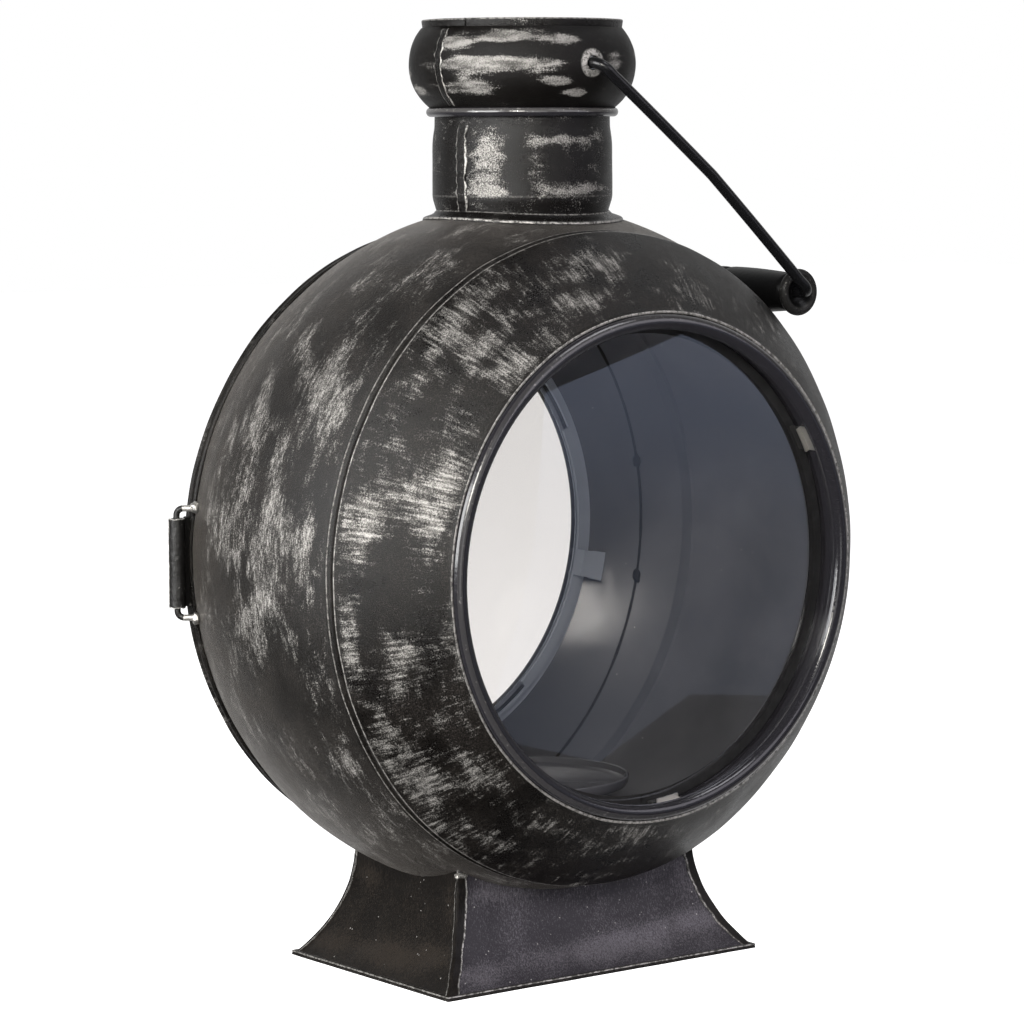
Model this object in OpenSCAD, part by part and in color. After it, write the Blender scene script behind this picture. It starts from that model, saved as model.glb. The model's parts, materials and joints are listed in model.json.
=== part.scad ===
/* [Body] */
// Radius of the round body at its widest
body_r = 155; // [150:0.5:158]
// Height of the body's axis above the floor
body_z = 184; // [180:0.5:188]
// Half length of the exposed drum, from its middle to a seam
seam_y = 51.5; // [48:0.5:54]
// Outer radius of the lap band at each seam
band_r = 143.9; // [142.9:0.1:144.5]
// Width of the lap band along the axis
band_w = 6; // [5:0.5:7]
// Distance from the middle to each window's lip
lip_y = 94; // [92:0.5:96]
// Radius of the lip around each window
lip_r = 110.4; // [109.5:0.1:112]
// Outward bow of each dish
dish_bow = 1.5; // [0.8:0.1:3]
// Thickness of the sheet steel
sheet = 1; // [0.8:0.1:1.2]

/* [Windows] */
// Inner radius of the sleeve that holds a glass
sleeve_r = 105.2; // [104.8:0.1:105.6]
// Thickness of a glass
glass_t = 3; // [2:0.5:4]
// Radius of the rolled bead around a window
bead_section = 3.4; // [3:0.1:3.6]

/* [Foot] */
// Half width of the foot where it meets the body
foot_top_x = 66; // [60:0.5:70]
// Half depth of the foot where it meets the body
foot_top_y = 38.5; // [34:0.5:42]
// How far the foot flares out at the floor
foot_flare = 21; // [16:0.5:24]
// Height at which the flare has died out
flare_z = 52; // [51:0.5:56]
// Height of the folded hem
hem_h = 2.2; // [1.6:0.1:3]

/* [Neck and crown] */
// Outer radius of the neck tube
neck_r = 40; // [38:0.1:41]
// Outer radius of the crown bulb
bulb_r = 50.4; // [49:0.1:51]
// Radius of the bulb's rounded side
bulb_side_r = 24.5; // [24:0.1:26]
// Height of the bulb's middle, where the bail pivots
pivot_z = 400.5; // [399:0.5:402]
// Overall height
top_z = 420; // [418.5:0.5:421]

/* [Bail] */
// Radius of the bail wire
wire_r = 2.5; // [2:0.1:3]
// Distance from the pivot to the grip
bail_reach = 159.7; // [159.5:0.1:164]
// Angle of the fallen bail below the horizontal
bail_rest = 40.2; // [36:0.1:40.4]
// Height of each leg's gentle knee above its chord
knee_rise = 3; // [1:0.1:6]
// Half length of the grip
grip_half = 50; // [46:0.5:50]
// Radius of the grip's end collars
grip_r = 10.7; // [9.5:0.1:10.8]

/* [Door] */
// Hinge axis, left of the middle
hinge_x = 151; // [149:0.1:152]
// Half height of the hinge staple
staple_half = 24; // [20:0.5:28]
// Radius of the hinge pin wire
pin_r = 1.4; // [1.2:0.1:1.6]

/* [Candle] */
// Radius of the candle plate
plate_r = 47.5; // [40:0.5:60]
// Height of the candle plate's upper face
plate_z = 78; // [70:1:90]

/* [Hidden] */
$fn = 128;
fine = 360;
very_fine = 1440;
grip_fine = 2880;
past = 1;

black = [0.13, 0.12, 0.12];
worn_steel = [0.42, 0.41, 0.4];
foot_grey = [0.24, 0.22, 0.24];
inside_grey = [0.36, 0.38, 0.42];
clear_glass = [0.75, 0.82, 0.86, 0.35];
rubber_black = [0.05, 0.05, 0.05];

// Drum: an arc through the crest and both seams, with a tongue under each lap band
lap_gap = 0.35;
tongue_r = band_r - sheet - lap_gap;
drum_end_r = tongue_r + 0.6;
drum_rise = body_r - drum_end_r;
drum_arc_r = (seam_y * seam_y + drum_rise * drum_rise) / (2 * drum_rise);
tongue_root = 1.5;
neck_hole_r = 36.5;

// Dish: a lap band, a crease and a slightly bowed cone to the window's lip
crease = [band_r - sheet / 2, seam_y + band_w];
lip = [lip_r, lip_y];
chord = norm(crease - lip);
dish_arc_r = (chord * chord / 4 + dish_bow * dish_bow) / (2 * dish_bow);
dish_normal = [crease[1] - lip[1], lip[0] - crease[0]] / -chord;
dish_centre = (crease + lip) / 2 + dish_normal * (dish_bow - dish_arc_r);
lip_bead_r = 0.9;

// Window: bead, web behind the dish's lip, sleeve with an inner flange
bead_at = [106, 94.2];
web_y = 91.3;
web_outer_r = 112;
web_t = 1.2;
bead_back = 1.5;
sleeve_t = 1.3;
sleeve_end_y = 79.5;
flange_reach = 4.4;
glass_r = sleeve_r - 0.2;
gasket_t = 2.4;
gasket_w = 4.4;
gasket_slack = 0.02;
glass_y = sleeve_end_y + sheet + gasket_t;

// Clips: small tabs on the sleeve in front of the front glass
front_clip_angles = [29, 153, 277];
front_clip_span = 6.5;
front_clip_reach = 2.6;
front_clip_wall = 0.8;
front_clip_end_y = 92;

// The rear glass is held from inside by three strips, each under one folded clip
rear_glass_y = 89.2;
strip_t = 1.4;
strip_w = 3.6;
strip_span = 74;
strip_middle = [-12, 108, 228];
rear_clip_span = 7;
rear_clip_outer_r = 114.5;
clip_depth = 6;

// Foot: each wall's outer face is an arc about an axis outside the foot
flare_r = (flare_z * flare_z + foot_flare * foot_flare) / (2 * foot_flare);
mitre_in = 34;
mitre_out = 30;
foot_wall_top = 60;
lap_w = 5;
lap_t = 0.7;
hem_in = 2.4;
hem_out = 0.4;

// Crown
crown_wall = 1.2;
bulb_centre_r = bulb_r - bulb_side_r;
bulb_bottom_z = 381.3;
bulb_top_z = top_z - 3.6;
rim_outer_r = 44.6;
rim_inner_r = 43.1;
neck_top_z = 377.6;
neck_step_z = 373.5;
neck_high_z = 364;
neck_low_z = 344;
neck_tuck_z = 336;
neck_foot_z = 331;
neck_wall = 1.2;
neck_tuck = 2.3;
neck_step = 1;
collar_r = 44;
collar_t = 1.3;
bead_mid_z = 379.4;
bead_ring_r = 40.6;
bead_round_r = 2.1;
seam_azimuth = 191;
seam_span = 9;
seam_t = 0.8;
pivot_hole_r = wire_r + 0.5;

// Bail: pins on the pivot line, bends, kneed legs and a rod through the grip
bend_r = 5.5;
leg_y = 56;
pin_end_y = 42;
knee_slope = atan(2 * knee_rise / bail_reach);
leg_run = bail_reach / 2 / cos(knee_slope) - bend_r;
collar_section = 2.8;
collar_root = 3;
collar_step = 0.8;
grip_neck_r = 8.8;
grip_neck_y = grip_half - 7;
grip_crown_y = 2;
grip_rise = grip_r - grip_neck_r;
grip_run = grip_neck_y - grip_crown_y;
grip_arc_r = (grip_run * grip_run + grip_rise * grip_rise) / (2 * grip_rise);
grip_groove_r = grip_r - 1.1;
grip_bore_r = wire_r + 0.3;

// Hinge: the staple's legs run from the pin to the drum, splayed at their ends
hinge_y = seam_y;
staple_bend_r = 3;
staple_turn = -42;
staple_leg = 8.6;
barrel_r = 2.5;
barrel_half = 19.5;
pin_fit = 0.08;
leaf_t = 1;
leaf_y = 52.6;

// Pull tab
tab_half_z = 9;
tab_reach = 7.5;
tab_root = 1.5;
tab_corner_r = 3;
tab_inset = 0.4;
rivet_r = 1.7;
rivet_crown_r = 2.1;
rivet_crown_drop = 0.8;
rivet_sink = 0.3;
rivet_y = 2.6;
rivet_z = 6.2;

// Candle plate and its stand
plate_t = 1.2;
rim_h = 4;
stand_r = 25;

// Turns a child made about Z so that its axis is the body's axis, along +Y
module about_body() {
    translate([0, 0, body_z])
        rotate([-90, 0, 0])
            children();
}

// Revolves a profile drawn as [radius, distance along the axis]
module turned(angle = 360, start = 0) {
    about_body()
        rotate([0, 0, start])
            rotate_extrude(angle = angle, $fn = fine)
                children();
}

// Flips the rear side of the body to the front
module to_front() {
    mirror([0, 1, 0])
        children();
}

// The drum's full round form, grown by an offset, to cut other pieces to it
module drum_form(grow = 0) {
    turned()
        intersection() {
            translate([body_r - drum_arc_r, 0])
                circle(drum_arc_r + grow, $fn = fine);
            translate([0, -seam_y])
                square([body_r + grow, 2 * seam_y]);
        }
}

module dish_profile() {
    translate([band_r - sheet, seam_y])
        square([sheet, band_w]);
    translate(crease)
        circle(sheet / 2, $fn = 32);
    intersection() {
        difference() {
            translate(dish_centre)
                circle(dish_arc_r + sheet / 2, $fn = very_fine);
            translate(dish_centre)
                circle(dish_arc_r - sheet / 2, $fn = very_fine);
        }
        polygon([crease - 5 * dish_normal, crease + 5 * dish_normal,
            lip + 5 * dish_normal, lip - 5 * dish_normal]);
    }
    translate(lip)
        circle(lip_bead_r, $fn = 48);
}

module bezel_profile(flange_y) {
    difference() {
        union() {
            translate(bead_at)
                circle(bead_section, $fn = 96);
            translate([sleeve_r, flange_y])
                square([sleeve_t, bead_at[1] - flange_y]);
            translate([sleeve_r, web_y])
                square([web_outer_r - sleeve_r, web_t]);
        }
        dish_profile();
        intersection() {
            translate([sleeve_r - bead_section * 2, 0])
                square([bead_section * 2, bead_at[1] - bead_back]);
            translate(bead_at)
                circle(bead_section + past);
        }
    }
}

// A wall of the foot facing +X, mitred at 45 degrees against its neighbours
module foot_wall(half, other, from_r, to_r) {
    intersection() {
        translate([half + flare_r, other + mitre_out, flare_z])
            rotate([90, 0, 0])
                linear_extrude(2 * (other + mitre_out))
                    difference() {
                        circle(to_r, $fn = fine);
                        circle(from_r, $fn = fine);
                    }
        translate([0, 0, hem_h])
            linear_extrude(foot_wall_top - hem_h)
                polygon([[half - mitre_in, mitre_in - other], [half + mitre_out, -other - mitre_out],
                    [half + mitre_out, other + mitre_out], [half - mitre_in, other - mitre_in]]);
    }
}

// A panel is turned to its side first, then cut to the drum
module foot_panel(half, other, turn) {
    difference() {
        rotate([0, 0, turn])
            foot_wall(half, other, flare_r, flare_r + sheet);
        drum_form();
    }
}

module foot_front_panel() {
    color(foot_grey)
        foot_panel(foot_top_y, foot_top_x, -90);
}

module foot_rear_panel() {
    color(foot_grey)
        foot_panel(foot_top_y, foot_top_x, 90);
}

module foot_left_panel() {
    color(black)
        foot_panel(foot_top_x, foot_top_y, 180);
}

module foot_right_panel() {
    color(black)
        foot_panel(foot_top_x, foot_top_y, 0);
}

// The strip of a side panel that is folded round the corner onto the front panel
module corner_lap() {
    difference() {
        intersection() {
            rotate([0, 0, -90])
                foot_wall(foot_top_y, foot_top_x, flare_r - lap_t, flare_r);
            translate([foot_top_x + flare_r, 0, flare_z])
                rotate([90, 0, 0])
                    linear_extrude(foot_top_y + mitre_out)
                        difference() {
                            translate([-lap_w, 0])
                                circle(flare_r, $fn = fine);
                            circle(flare_r, $fn = fine);
                        }
        }
        drum_form();
    }
}

module foot_corner_laps() {
    color(worn_steel)
        for (flip_x = [0, 1], flip_y = [0, 1])
            mirror([flip_x, 0, 0])
                mirror([0, flip_y, 0])
                    corner_lap();
}

module hem_block(grow, height) {
    size = 2 * [foot_top_x + foot_flare + grow, foot_top_y + foot_flare + grow];
    linear_extrude(height)
        square(size, center = true);
}

module foot_hem() {
    color(black)
        difference() {
            hem_block(hem_out, hem_h);
            translate([0, 0, -past])
                hem_block(-hem_in, hem_h + 2 * past);
        }
}

module drum_profile() {
    intersection() {
        difference() {
            translate([body_r - drum_arc_r, 0])
                circle(drum_arc_r, $fn = fine);
            translate([body_r - drum_arc_r, 0])
                circle(drum_arc_r - sheet, $fn = fine);
        }
        translate([body_r / 2, -seam_y])
            square([body_r, 2 * seam_y]);
    }
    for (side = [-1, 1])
        translate([tongue_r - sheet, side * (seam_y + (band_w - tongue_root) / 2)])
            translate([0, -(band_w + tongue_root) / 2])
                square([sheet, band_w + tongue_root]);
}

module staple_leg_rod(length) {
    translate([staple_bend_r, 0, staple_half])
        rotate([0, 90, 0])
            cylinder(r = pin_r, h = length, $fn = 32);
}

module both_ends() {
    for (end = [0, 1])
        mirror([0, 0, end])
            children();
}

module staple_place() {
    translate([-hinge_x, hinge_y, body_z])
        rotate([0, 0, staple_turn])
            children();
}

module drum_shell() {
    color(black)
        difference() {
            union() {
                difference() {
                    turned(angle = 180, start = 180)
                        drum_profile();
                    translate([0, 0, body_z])
                        cylinder(r = neck_hole_r, h = body_r + past);
                }
                turned(angle = 180)
                    drum_profile();
            }
            staple_place()
                both_ends()
                    staple_leg_rod(3 * staple_leg);
        }
}

module hinge_staple() {
    color(worn_steel)
        staple_place() {
            both_ends() {
                translate([0, 0, staple_half - staple_bend_r])
                    rotate([90, 0, 0])
                        translate([staple_bend_r, 0, 0])
                            rotate([0, 0, 90])
                                rotate_extrude(angle = 90, $fn = 64)
                                    translate([staple_bend_r, 0])
                                        circle(pin_r, $fn = 32);
                staple_leg_rod(staple_leg - staple_bend_r);
            }
            cylinder(r = pin_r, h = 2 * (staple_half - staple_bend_r), center = true, $fn = 32);
        }
}

module front_dish() {
    color(black)
        to_front()
            turned()
                dish_profile();
}

module rear_dish() {
    color(black)
        turned()
            dish_profile();
}

module front_bezel() {
    color(black)
        to_front()
            turned() {
                bezel_profile(sleeve_end_y);
                translate([sleeve_r - flange_reach, sleeve_end_y])
                    square([flange_reach + sleeve_t, sheet]);
            }
}

module rear_bezel() {
    color(black)
        turned() {
            bezel_profile(rear_glass_y - strip_t);
            translate([sleeve_r - flange_reach / 2, rear_glass_y + glass_t])
                square([flange_reach / 2 + sleeve_t, sheet]);
        }
}

module front_gasket() {
    color(rubber_black)
        to_front()
            turned()
                translate([glass_r - gasket_w, sleeve_end_y + sheet])
                    square([gasket_w, gasket_t]);
}

module front_glass() {
    color(clear_glass)
        to_front()
            about_body()
                translate([0, 0, glass_y])
                    cylinder(r = glass_r, h = glass_t, $fn = fine);
}

module front_glass_clips() {
    color(worn_steel)
        to_front()
            for (a = front_clip_angles)
                turned(angle = front_clip_span, start = -a - front_clip_span / 2) {
                    translate([sleeve_r - front_clip_reach, glass_y + glass_t])
                        square([front_clip_reach, front_clip_wall]);
                    translate([sleeve_r - front_clip_wall, glass_y + glass_t])
                        square([front_clip_wall, front_clip_end_y - glass_y - glass_t]);
                }
}

module rear_gasket() {
    color(rubber_black)
        turned()
            translate([glass_r + gasket_slack, rear_glass_y])
                square([sleeve_r - glass_r - gasket_slack, glass_t]);
}

module rear_glass() {
    color(clear_glass)
        about_body()
            translate([0, 0, rear_glass_y])
                cylinder(r = glass_r, h = glass_t, $fn = fine);
}

module rear_glass_strips() {
    color(inside_grey)
        for (a = strip_middle)
            turned(angle = strip_span, start = -a - strip_span / 2)
                translate([sleeve_r - strip_w, rear_glass_y - strip_t])
                    square([strip_w, strip_t]);
}

// A clip runs from the strip over the sleeve's end to the dish's inner face
module rear_clip_profile() {
    clip_y = rear_glass_y - strip_t - clip_depth;
    difference() {
        union() {
            translate([sleeve_r - strip_w, clip_y])
                square([sheet, clip_depth]);
            translate([sleeve_r - strip_w, clip_y])
                square([rear_clip_outer_r - sleeve_r + strip_w, sheet]);
            translate([rear_clip_outer_r - sheet, clip_y])
                square([sheet, lip_y - clip_y]);
        }
        intersection() {
            translate([rear_clip_outer_r - 2 * sheet, clip_y + sheet])
                square([3 * sheet, lip_y]);
            translate(dish_centre)
                difference() {
                    circle(dish_arc_r * 2, $fn = fine);
                    circle(dish_arc_r - sheet / 2, $fn = very_fine);
                }
        }
    }
}

module rear_glass_clips() {
    color(worn_steel)
        for (a = strip_middle)
            turned(angle = rear_clip_span, start = -a - rear_clip_span / 2)
                rear_clip_profile();
}

module plate_stand() {
    color(black)
        difference() {
            translate([0, 0, body_z - body_r])
                cylinder(r = stand_r, h = plate_z - plate_t - body_z + body_r);
            translate([0, 0, body_z - body_r - past])
                cylinder(r = stand_r - sheet, h = plate_z);
            difference() {
                translate([0, 0, body_z - body_r - stand_r])
                    cylinder(r = 2 * stand_r, h = 2 * stand_r);
                drum_form(-sheet);
            }
        }
}

module candle_plate() {
    color(worn_steel)
        translate([0, 0, plate_z - plate_t])
            difference() {
                cylinder(r = plate_r, h = rim_h + plate_t);
                translate([0, 0, plate_t])
                    cylinder(r = plate_r - plate_t, h = rim_h + past);
            }
}

module neck_collar() {
    color(black)
        difference() {
            intersection() {
                translate([0, 0, body_z])
                    cylinder(r = collar_r, h = body_r + 2 * collar_t);
                drum_form(collar_t);
            }
            drum_form();
            translate([0, 0, body_z])
                cylinder(r = neck_r - neck_tuck / 2, h = body_r + 3 * collar_t);
        }
}

module neck_tube() {
    color(black)
        difference() {
            rotate_extrude($fn = fine)
                difference() {
                    neck_outline(0);
                    translate([0, -past])
                        neck_outline(neck_wall);
                    translate([0, neck_top_z - 2 * past])
                        square([neck_r - neck_step - neck_wall, 3 * past]);
                }
            drum_form();
        }
}

// The neck's solid form: tucked in at the shoulder, straight, then stepped in under the bead
module neck_outline(inset) {
    polygon([[0, neck_foot_z], [neck_r - neck_tuck - inset, neck_foot_z],
        [neck_r - neck_tuck / 2 - inset, neck_tuck_z], [neck_r - inset, neck_low_z],
        [neck_r - inset, neck_high_z], [neck_r - neck_step - inset, neck_step_z],
        [neck_r - neck_step - inset, neck_top_z], [0, neck_top_z]]);
}

module neck_seam() {
    color(worn_steel)
        rotate([0, 0, seam_azimuth - seam_span / 2])
            rotate_extrude(angle = seam_span, $fn = fine)
                translate([neck_r, neck_low_z])
                    square([seam_t, neck_high_z - neck_low_z]);
}

module neck_bead() {
    color(black)
        rotate_extrude($fn = fine) {
            intersection() {
                translate([bead_ring_r, bead_mid_z])
                    circle(bead_round_r, $fn = 64);
                square([2 * bead_ring_r, bulb_bottom_z]);
            }
            translate([neck_r - neck_step - neck_wall, neck_top_z])
                square([bead_ring_r - neck_r + neck_step + neck_wall, bulb_bottom_z - neck_top_z]);
        }
}

module crown_bulb() {
    color(black)
        difference() {
            rotate_extrude($fn = fine)
                intersection() {
                    translate([bulb_centre_r, pivot_z])
                        difference() {
                            circle(bulb_side_r, $fn = 256);
                            circle(bulb_side_r - crown_wall, $fn = 256);
                        }
                    translate([bulb_centre_r, bulb_bottom_z])
                        square([bulb_r, bulb_top_z - bulb_bottom_z]);
                }
            translate([0, 0, pivot_z])
                rotate([90, 0, 0])
                    cylinder(r = pivot_hole_r, h = 3 * bulb_r, center = true);
        }
}

module crown_rim() {
    color(black)
        rotate_extrude($fn = fine)
            translate([rim_inner_r, bulb_top_z])
                square([rim_outer_r - rim_inner_r, top_z - bulb_top_z]);
}

// Places a bail drawn with its pivot on the Y axis and its legs along +X
module bail_place() {
    translate([0, 0, pivot_z])
        rotate([0, bail_rest, 0])
            children();
}

// A straight rod, a bend and half a leg, ending square to the leg's chord at the knee
module bail_half_leg(rod) {
    difference() {
        rotate([0, -knee_slope, 0])
            translate([bend_r, bend_r - leg_y, 0])
                rotate([0, 0, 180]) {
                    rotate_extrude(angle = 90, $fn = 96)
                        translate([bend_r, 0])
                            circle(wire_r, $fn = 48);
                    translate([bend_r, 0, 0])
                        rotate([90, 0, 0])
                            cylinder(r = wire_r, h = rod, $fn = 48);
                    translate([0, bend_r, 0])
                        rotate([0, -90, 0])
                            cylinder(r = wire_r, h = leg_run + past, $fn = 48);
                }
        translate([bail_reach / 2, -leg_y - 2 * wire_r, -leg_y])
            cube([leg_y, 4 * wire_r, 2 * leg_y]);
    }
}

module bail_leg() {
    bail_half_leg(leg_y - bend_r - pin_end_y);
    translate([bail_reach, 0, 0])
        mirror([1, 0, 0])
            bail_half_leg(leg_y - bend_r);
}

module bail_wire() {
    color(black)
        bail_place()
            for (side = [0, 1])
                mirror([0, side, 0])
                    bail_leg();
}

module grip_half_profile() {
    difference() {
        union() {
            square([grip_groove_r, grip_crown_y]);
            translate([0, grip_crown_y])
                intersection() {
                    translate([grip_r - grip_arc_r, 0])
                        circle(grip_arc_r, $fn = grip_fine);
                    square([grip_r, grip_run]);
                }
            translate([0, grip_neck_y])
                square([grip_neck_r - collar_step, grip_half - collar_root - grip_neck_y]);
            translate([grip_r - collar_section, grip_half - collar_section])
                circle(collar_section, $fn = 64);
        }
        translate([-past, -past])
            square([grip_bore_r + past, grip_half + 2 * past]);
    }
}

module bail_grip() {
    color(black)
        bail_place()
            translate([bail_reach, 0, 0])
                rotate([-90, 0, 0])
                    for (side = [0, 1])
                        mirror([0, 0, side])
                            rotate_extrude($fn = 128)
                                grip_half_profile();
}

module hinge_leaf() {
    color(worn_steel)
        difference() {
            union() {
                translate([-hinge_x, hinge_y, body_z])
                    cylinder(r = barrel_r, h = 2 * barrel_half, center = true, $fn = 64);
                difference() {
                    translate([-hinge_x, leaf_y, body_z - barrel_half])
                        cube([10, leaf_t, 2 * barrel_half]);
                    turned()
                        square([band_r, lip_y]);
                }
                intersection() {
                    turned()
                        translate([band_r, leaf_y])
                            square([leaf_t, seam_y + band_w - leaf_y]);
                    translate([-hinge_x, leaf_y, body_z - barrel_half])
                        cube([20, band_w, 2 * barrel_half]);
                }
            }
            translate([-hinge_x, hinge_y, body_z])
                cylinder(r = pin_r + pin_fit, h = 3 * barrel_half, center = true, $fn = 64);
        }
}

module pull_tab() {
    color(worn_steel) {
        intersection() {
            turned()
                translate([band_r, seam_y + tab_inset])
                    square([leaf_t, band_w - tab_inset]);
            translate([band_r - band_w, seam_y, body_z - tab_half_z])
                cube([2 * band_w, band_w, 2 * tab_half_z]);
        }
        difference() {
            translate([band_r + leaf_t, seam_y + band_w, body_z])
                rotate([90, 0, 0])
                    linear_extrude(leaf_t)
                        hull() {
                            translate([-tab_root, -tab_half_z])
                                square([tab_root, 2 * tab_half_z]);
                            for (z = [-1, 1])
                                translate([tab_reach - tab_corner_r, z * (tab_half_z - tab_corner_r - 1)])
                                    circle(tab_corner_r, $fn = 32);
                        }
            turned()
                square([band_r + leaf_t, lip_y]);
        }
    }
}

module pull_tab_rivets() {
    color(worn_steel)
        difference() {
            for (z = [-1, 1])
                translate([sqrt(pow(band_r + leaf_t, 2) - pow(rivet_z, 2)) - rivet_sink,
                    seam_y + rivet_y, body_z + z * rivet_z])
                    rotate([0, 90, 0])
                        intersection() {
                            translate([0, 0, -rivet_crown_drop])
                                sphere(rivet_crown_r, $fn = 48);
                            cylinder(r = rivet_r, h = 2, $fn = 48);
                        }
            turned()
                square([band_r + leaf_t, lip_y]);
        }
}

foot_front_panel();
foot_rear_panel();
foot_left_panel();
foot_right_panel();
foot_corner_laps();
foot_hem();
drum_shell();
front_dish();
front_bezel();
front_gasket();
front_glass();
front_glass_clips();
plate_stand();
candle_plate();
neck_collar();
neck_tube();
neck_seam();
neck_bead();
crown_bulb();
crown_rim();
hinge_staple();
bail_wire();
bail_grip();
rear_dish();
rear_bezel();
rear_gasket();
rear_glass();
rear_glass_strips();
rear_glass_clips();
hinge_leaf();
pull_tab();
pull_tab_rivets();
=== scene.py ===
import json
import math

import bmesh
import bpy
from mathutils import Matrix, Vector, noise


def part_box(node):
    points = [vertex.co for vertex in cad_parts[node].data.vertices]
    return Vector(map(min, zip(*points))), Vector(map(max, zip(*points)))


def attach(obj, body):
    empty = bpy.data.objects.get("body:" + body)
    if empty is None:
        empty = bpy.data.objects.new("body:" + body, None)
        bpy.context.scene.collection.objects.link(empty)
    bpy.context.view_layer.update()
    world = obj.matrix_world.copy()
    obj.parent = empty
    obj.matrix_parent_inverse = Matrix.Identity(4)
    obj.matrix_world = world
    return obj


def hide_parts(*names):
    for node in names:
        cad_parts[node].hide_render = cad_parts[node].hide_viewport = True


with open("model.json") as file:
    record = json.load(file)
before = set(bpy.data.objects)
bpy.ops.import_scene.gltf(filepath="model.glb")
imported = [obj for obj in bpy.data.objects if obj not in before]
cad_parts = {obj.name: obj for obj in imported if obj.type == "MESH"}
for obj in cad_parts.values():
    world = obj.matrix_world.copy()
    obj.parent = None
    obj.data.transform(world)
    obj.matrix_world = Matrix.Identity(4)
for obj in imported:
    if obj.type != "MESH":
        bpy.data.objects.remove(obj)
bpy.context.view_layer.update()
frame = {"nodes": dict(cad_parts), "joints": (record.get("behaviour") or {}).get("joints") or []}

# Shapes are worked out in millimetres, in the CAD frame, and scaled to metres when a mesh is made
MM = 0.001


def box_mm(node):
    low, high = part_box(node)
    return low / MM, high / MM


def joint_at(name):
    """Where a joint sits, in metres."""
    return next(j for j in frame["joints"] if j["name"] == name)["pos_m"]


# ---------------------------------------------------------------- sizes taken from the frame
drum_low, drum_high = box_mm("drum_shell")
body_r = (drum_high.x - drum_low.x) / 2
axis_z = drum_low.z + body_r
dish_low, dish_high = box_mm("front_dish")
seam_y = -dish_high.y
band_r = (dish_high.x - dish_low.x) / 2
bead_front_y = -box_mm("front_bezel")[0].y
glass_low, glass_high = box_mm("front_glass")
glass_r = (glass_high.x - glass_low.x) / 2
glass_outer_y = -glass_low.y
glass_inner_y = -glass_high.y
rear_glass_inner_y = box_mm("rear_glass")[0].y
rear_glass_outer_y = box_mm("rear_glass")[1].y
foot_high = box_mm("foot_hem")[1]
neck_low, neck_high = box_mm("neck_tube")
neck_r = (neck_high.x - neck_low.x) / 2
bulb_low, bulb_high = box_mm("crown_bulb")
bulb_r = (bulb_high.x - bulb_low.x) / 2
rim_low, rim_high = box_mm("crown_rim")
rim_r = (rim_high.x - rim_low.x) / 2
swage_low, swage_high = box_mm("neck_bead")
grip_low, grip_high = box_mm("bail_grip")
grip_half = (grip_high.y - grip_low.y) / 2
grip_r = (grip_high.x - grip_low.x) / 2
plate_low, plate_high = box_mm("candle_plate")
staple_low, staple_high = box_mm("hinge_staple")
leaf_low, leaf_high = box_mm("hinge_leaf")
pivot_z = joint_at("bail_swing")[2] / MM
grip_at = Vector(joint_at("grip_spin")) / MM
hinge_at = Vector(joint_at("door_swing")) / MM

# ---------------------------------------------------------------- other sizes, in millimetres
sheet = 1.0
crown_sheet = 1.2
band_w = 6.0
crease_y = seam_y + band_w
lip_r = 110.4
lip_y = 94.0
dish_bow = 1.5
drum_edge_r = band_r - 0.75
bead_r = 3.4
bead_at = (106.0, bead_front_y - bead_r)
sleeve_r = 105.2
wire_r = 2.5
hole_r = wire_r + 0.5
neck_hole_r = 36.5


# ---------------------------------------------------------------- mesh builders
def add_object(name, data):
    made = bpy.data.objects.new(name, data)
    bpy.context.scene.collection.objects.link(made)
    return made


def make_mesh(name, verts, faces, face_slots=None, wear=None, sharp=40.0, rub_and_highlight=None):
    """A smooth-shaded mesh object from millimetre vertices, with edge wear and with rubbing and painted
    highlights on each vertex.
    """
    mesh = bpy.data.meshes.new(name)
    mesh.from_pydata([Vector(v) * MM for v in verts], [], faces)
    if face_slots:
        mesh.polygons.foreach_set("material_index", face_slots)
    for key, values in (("wear", wear), ("rub_and_highlight", rub_and_highlight)):
        attribute = mesh.attributes.new(key, "FLOAT", "POINT")
        attribute.data.foreach_set("value", values or [0.0] * len(verts))
    bm = bmesh.new()
    bm.from_mesh(mesh)
    bmesh.ops.recalc_face_normals(bm, faces=bm.faces)
    bm.to_mesh(mesh)
    bm.free()
    mesh.shade_smooth()
    mesh.set_sharp_from_angle(angle=math.radians(sharp))
    return add_object(name, mesh)


def circle(count):
    """Angles once round, evenly spaced."""
    return [2 * math.pi * k / count for k in range(count)]


def ring_faces(rings, count, closed=False):
    """Quads between rings of count vertices each. A closed stack joins its last ring to its first."""
    faces = []
    for j in range(rings if closed else rings - 1):
        k = (j + 1) % rings
        for i in range(count):
            n = (i + 1) % count
            faces.append((j * count + i, j * count + n, k * count + n, k * count + i))
    return faces


def end_faces(rings, count):
    """The two faces that close an open stack of rings."""
    last = (rings - 1) * count
    return [tuple(range(count)), tuple(last + i for i in reversed(range(count)))]


def on_body(r, h, a):
    """A point at radius r and angle a round the body's axis, at h along +Y."""
    return Vector((r * math.cos(a), h, axis_z + r * math.sin(a)))


def on_crown(r, h, a):
    """A point at radius r and angle a round the neck's upright axis, at height h."""
    return Vector((r * math.cos(a), r * math.sin(a), h))


def on_grip(r, h, a):
    """A point at radius r and angle a round the grip's axis, at h along +Y."""
    return Vector((grip_at.x + r * math.cos(a), h, grip_at.z + r * math.sin(a)))


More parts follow.
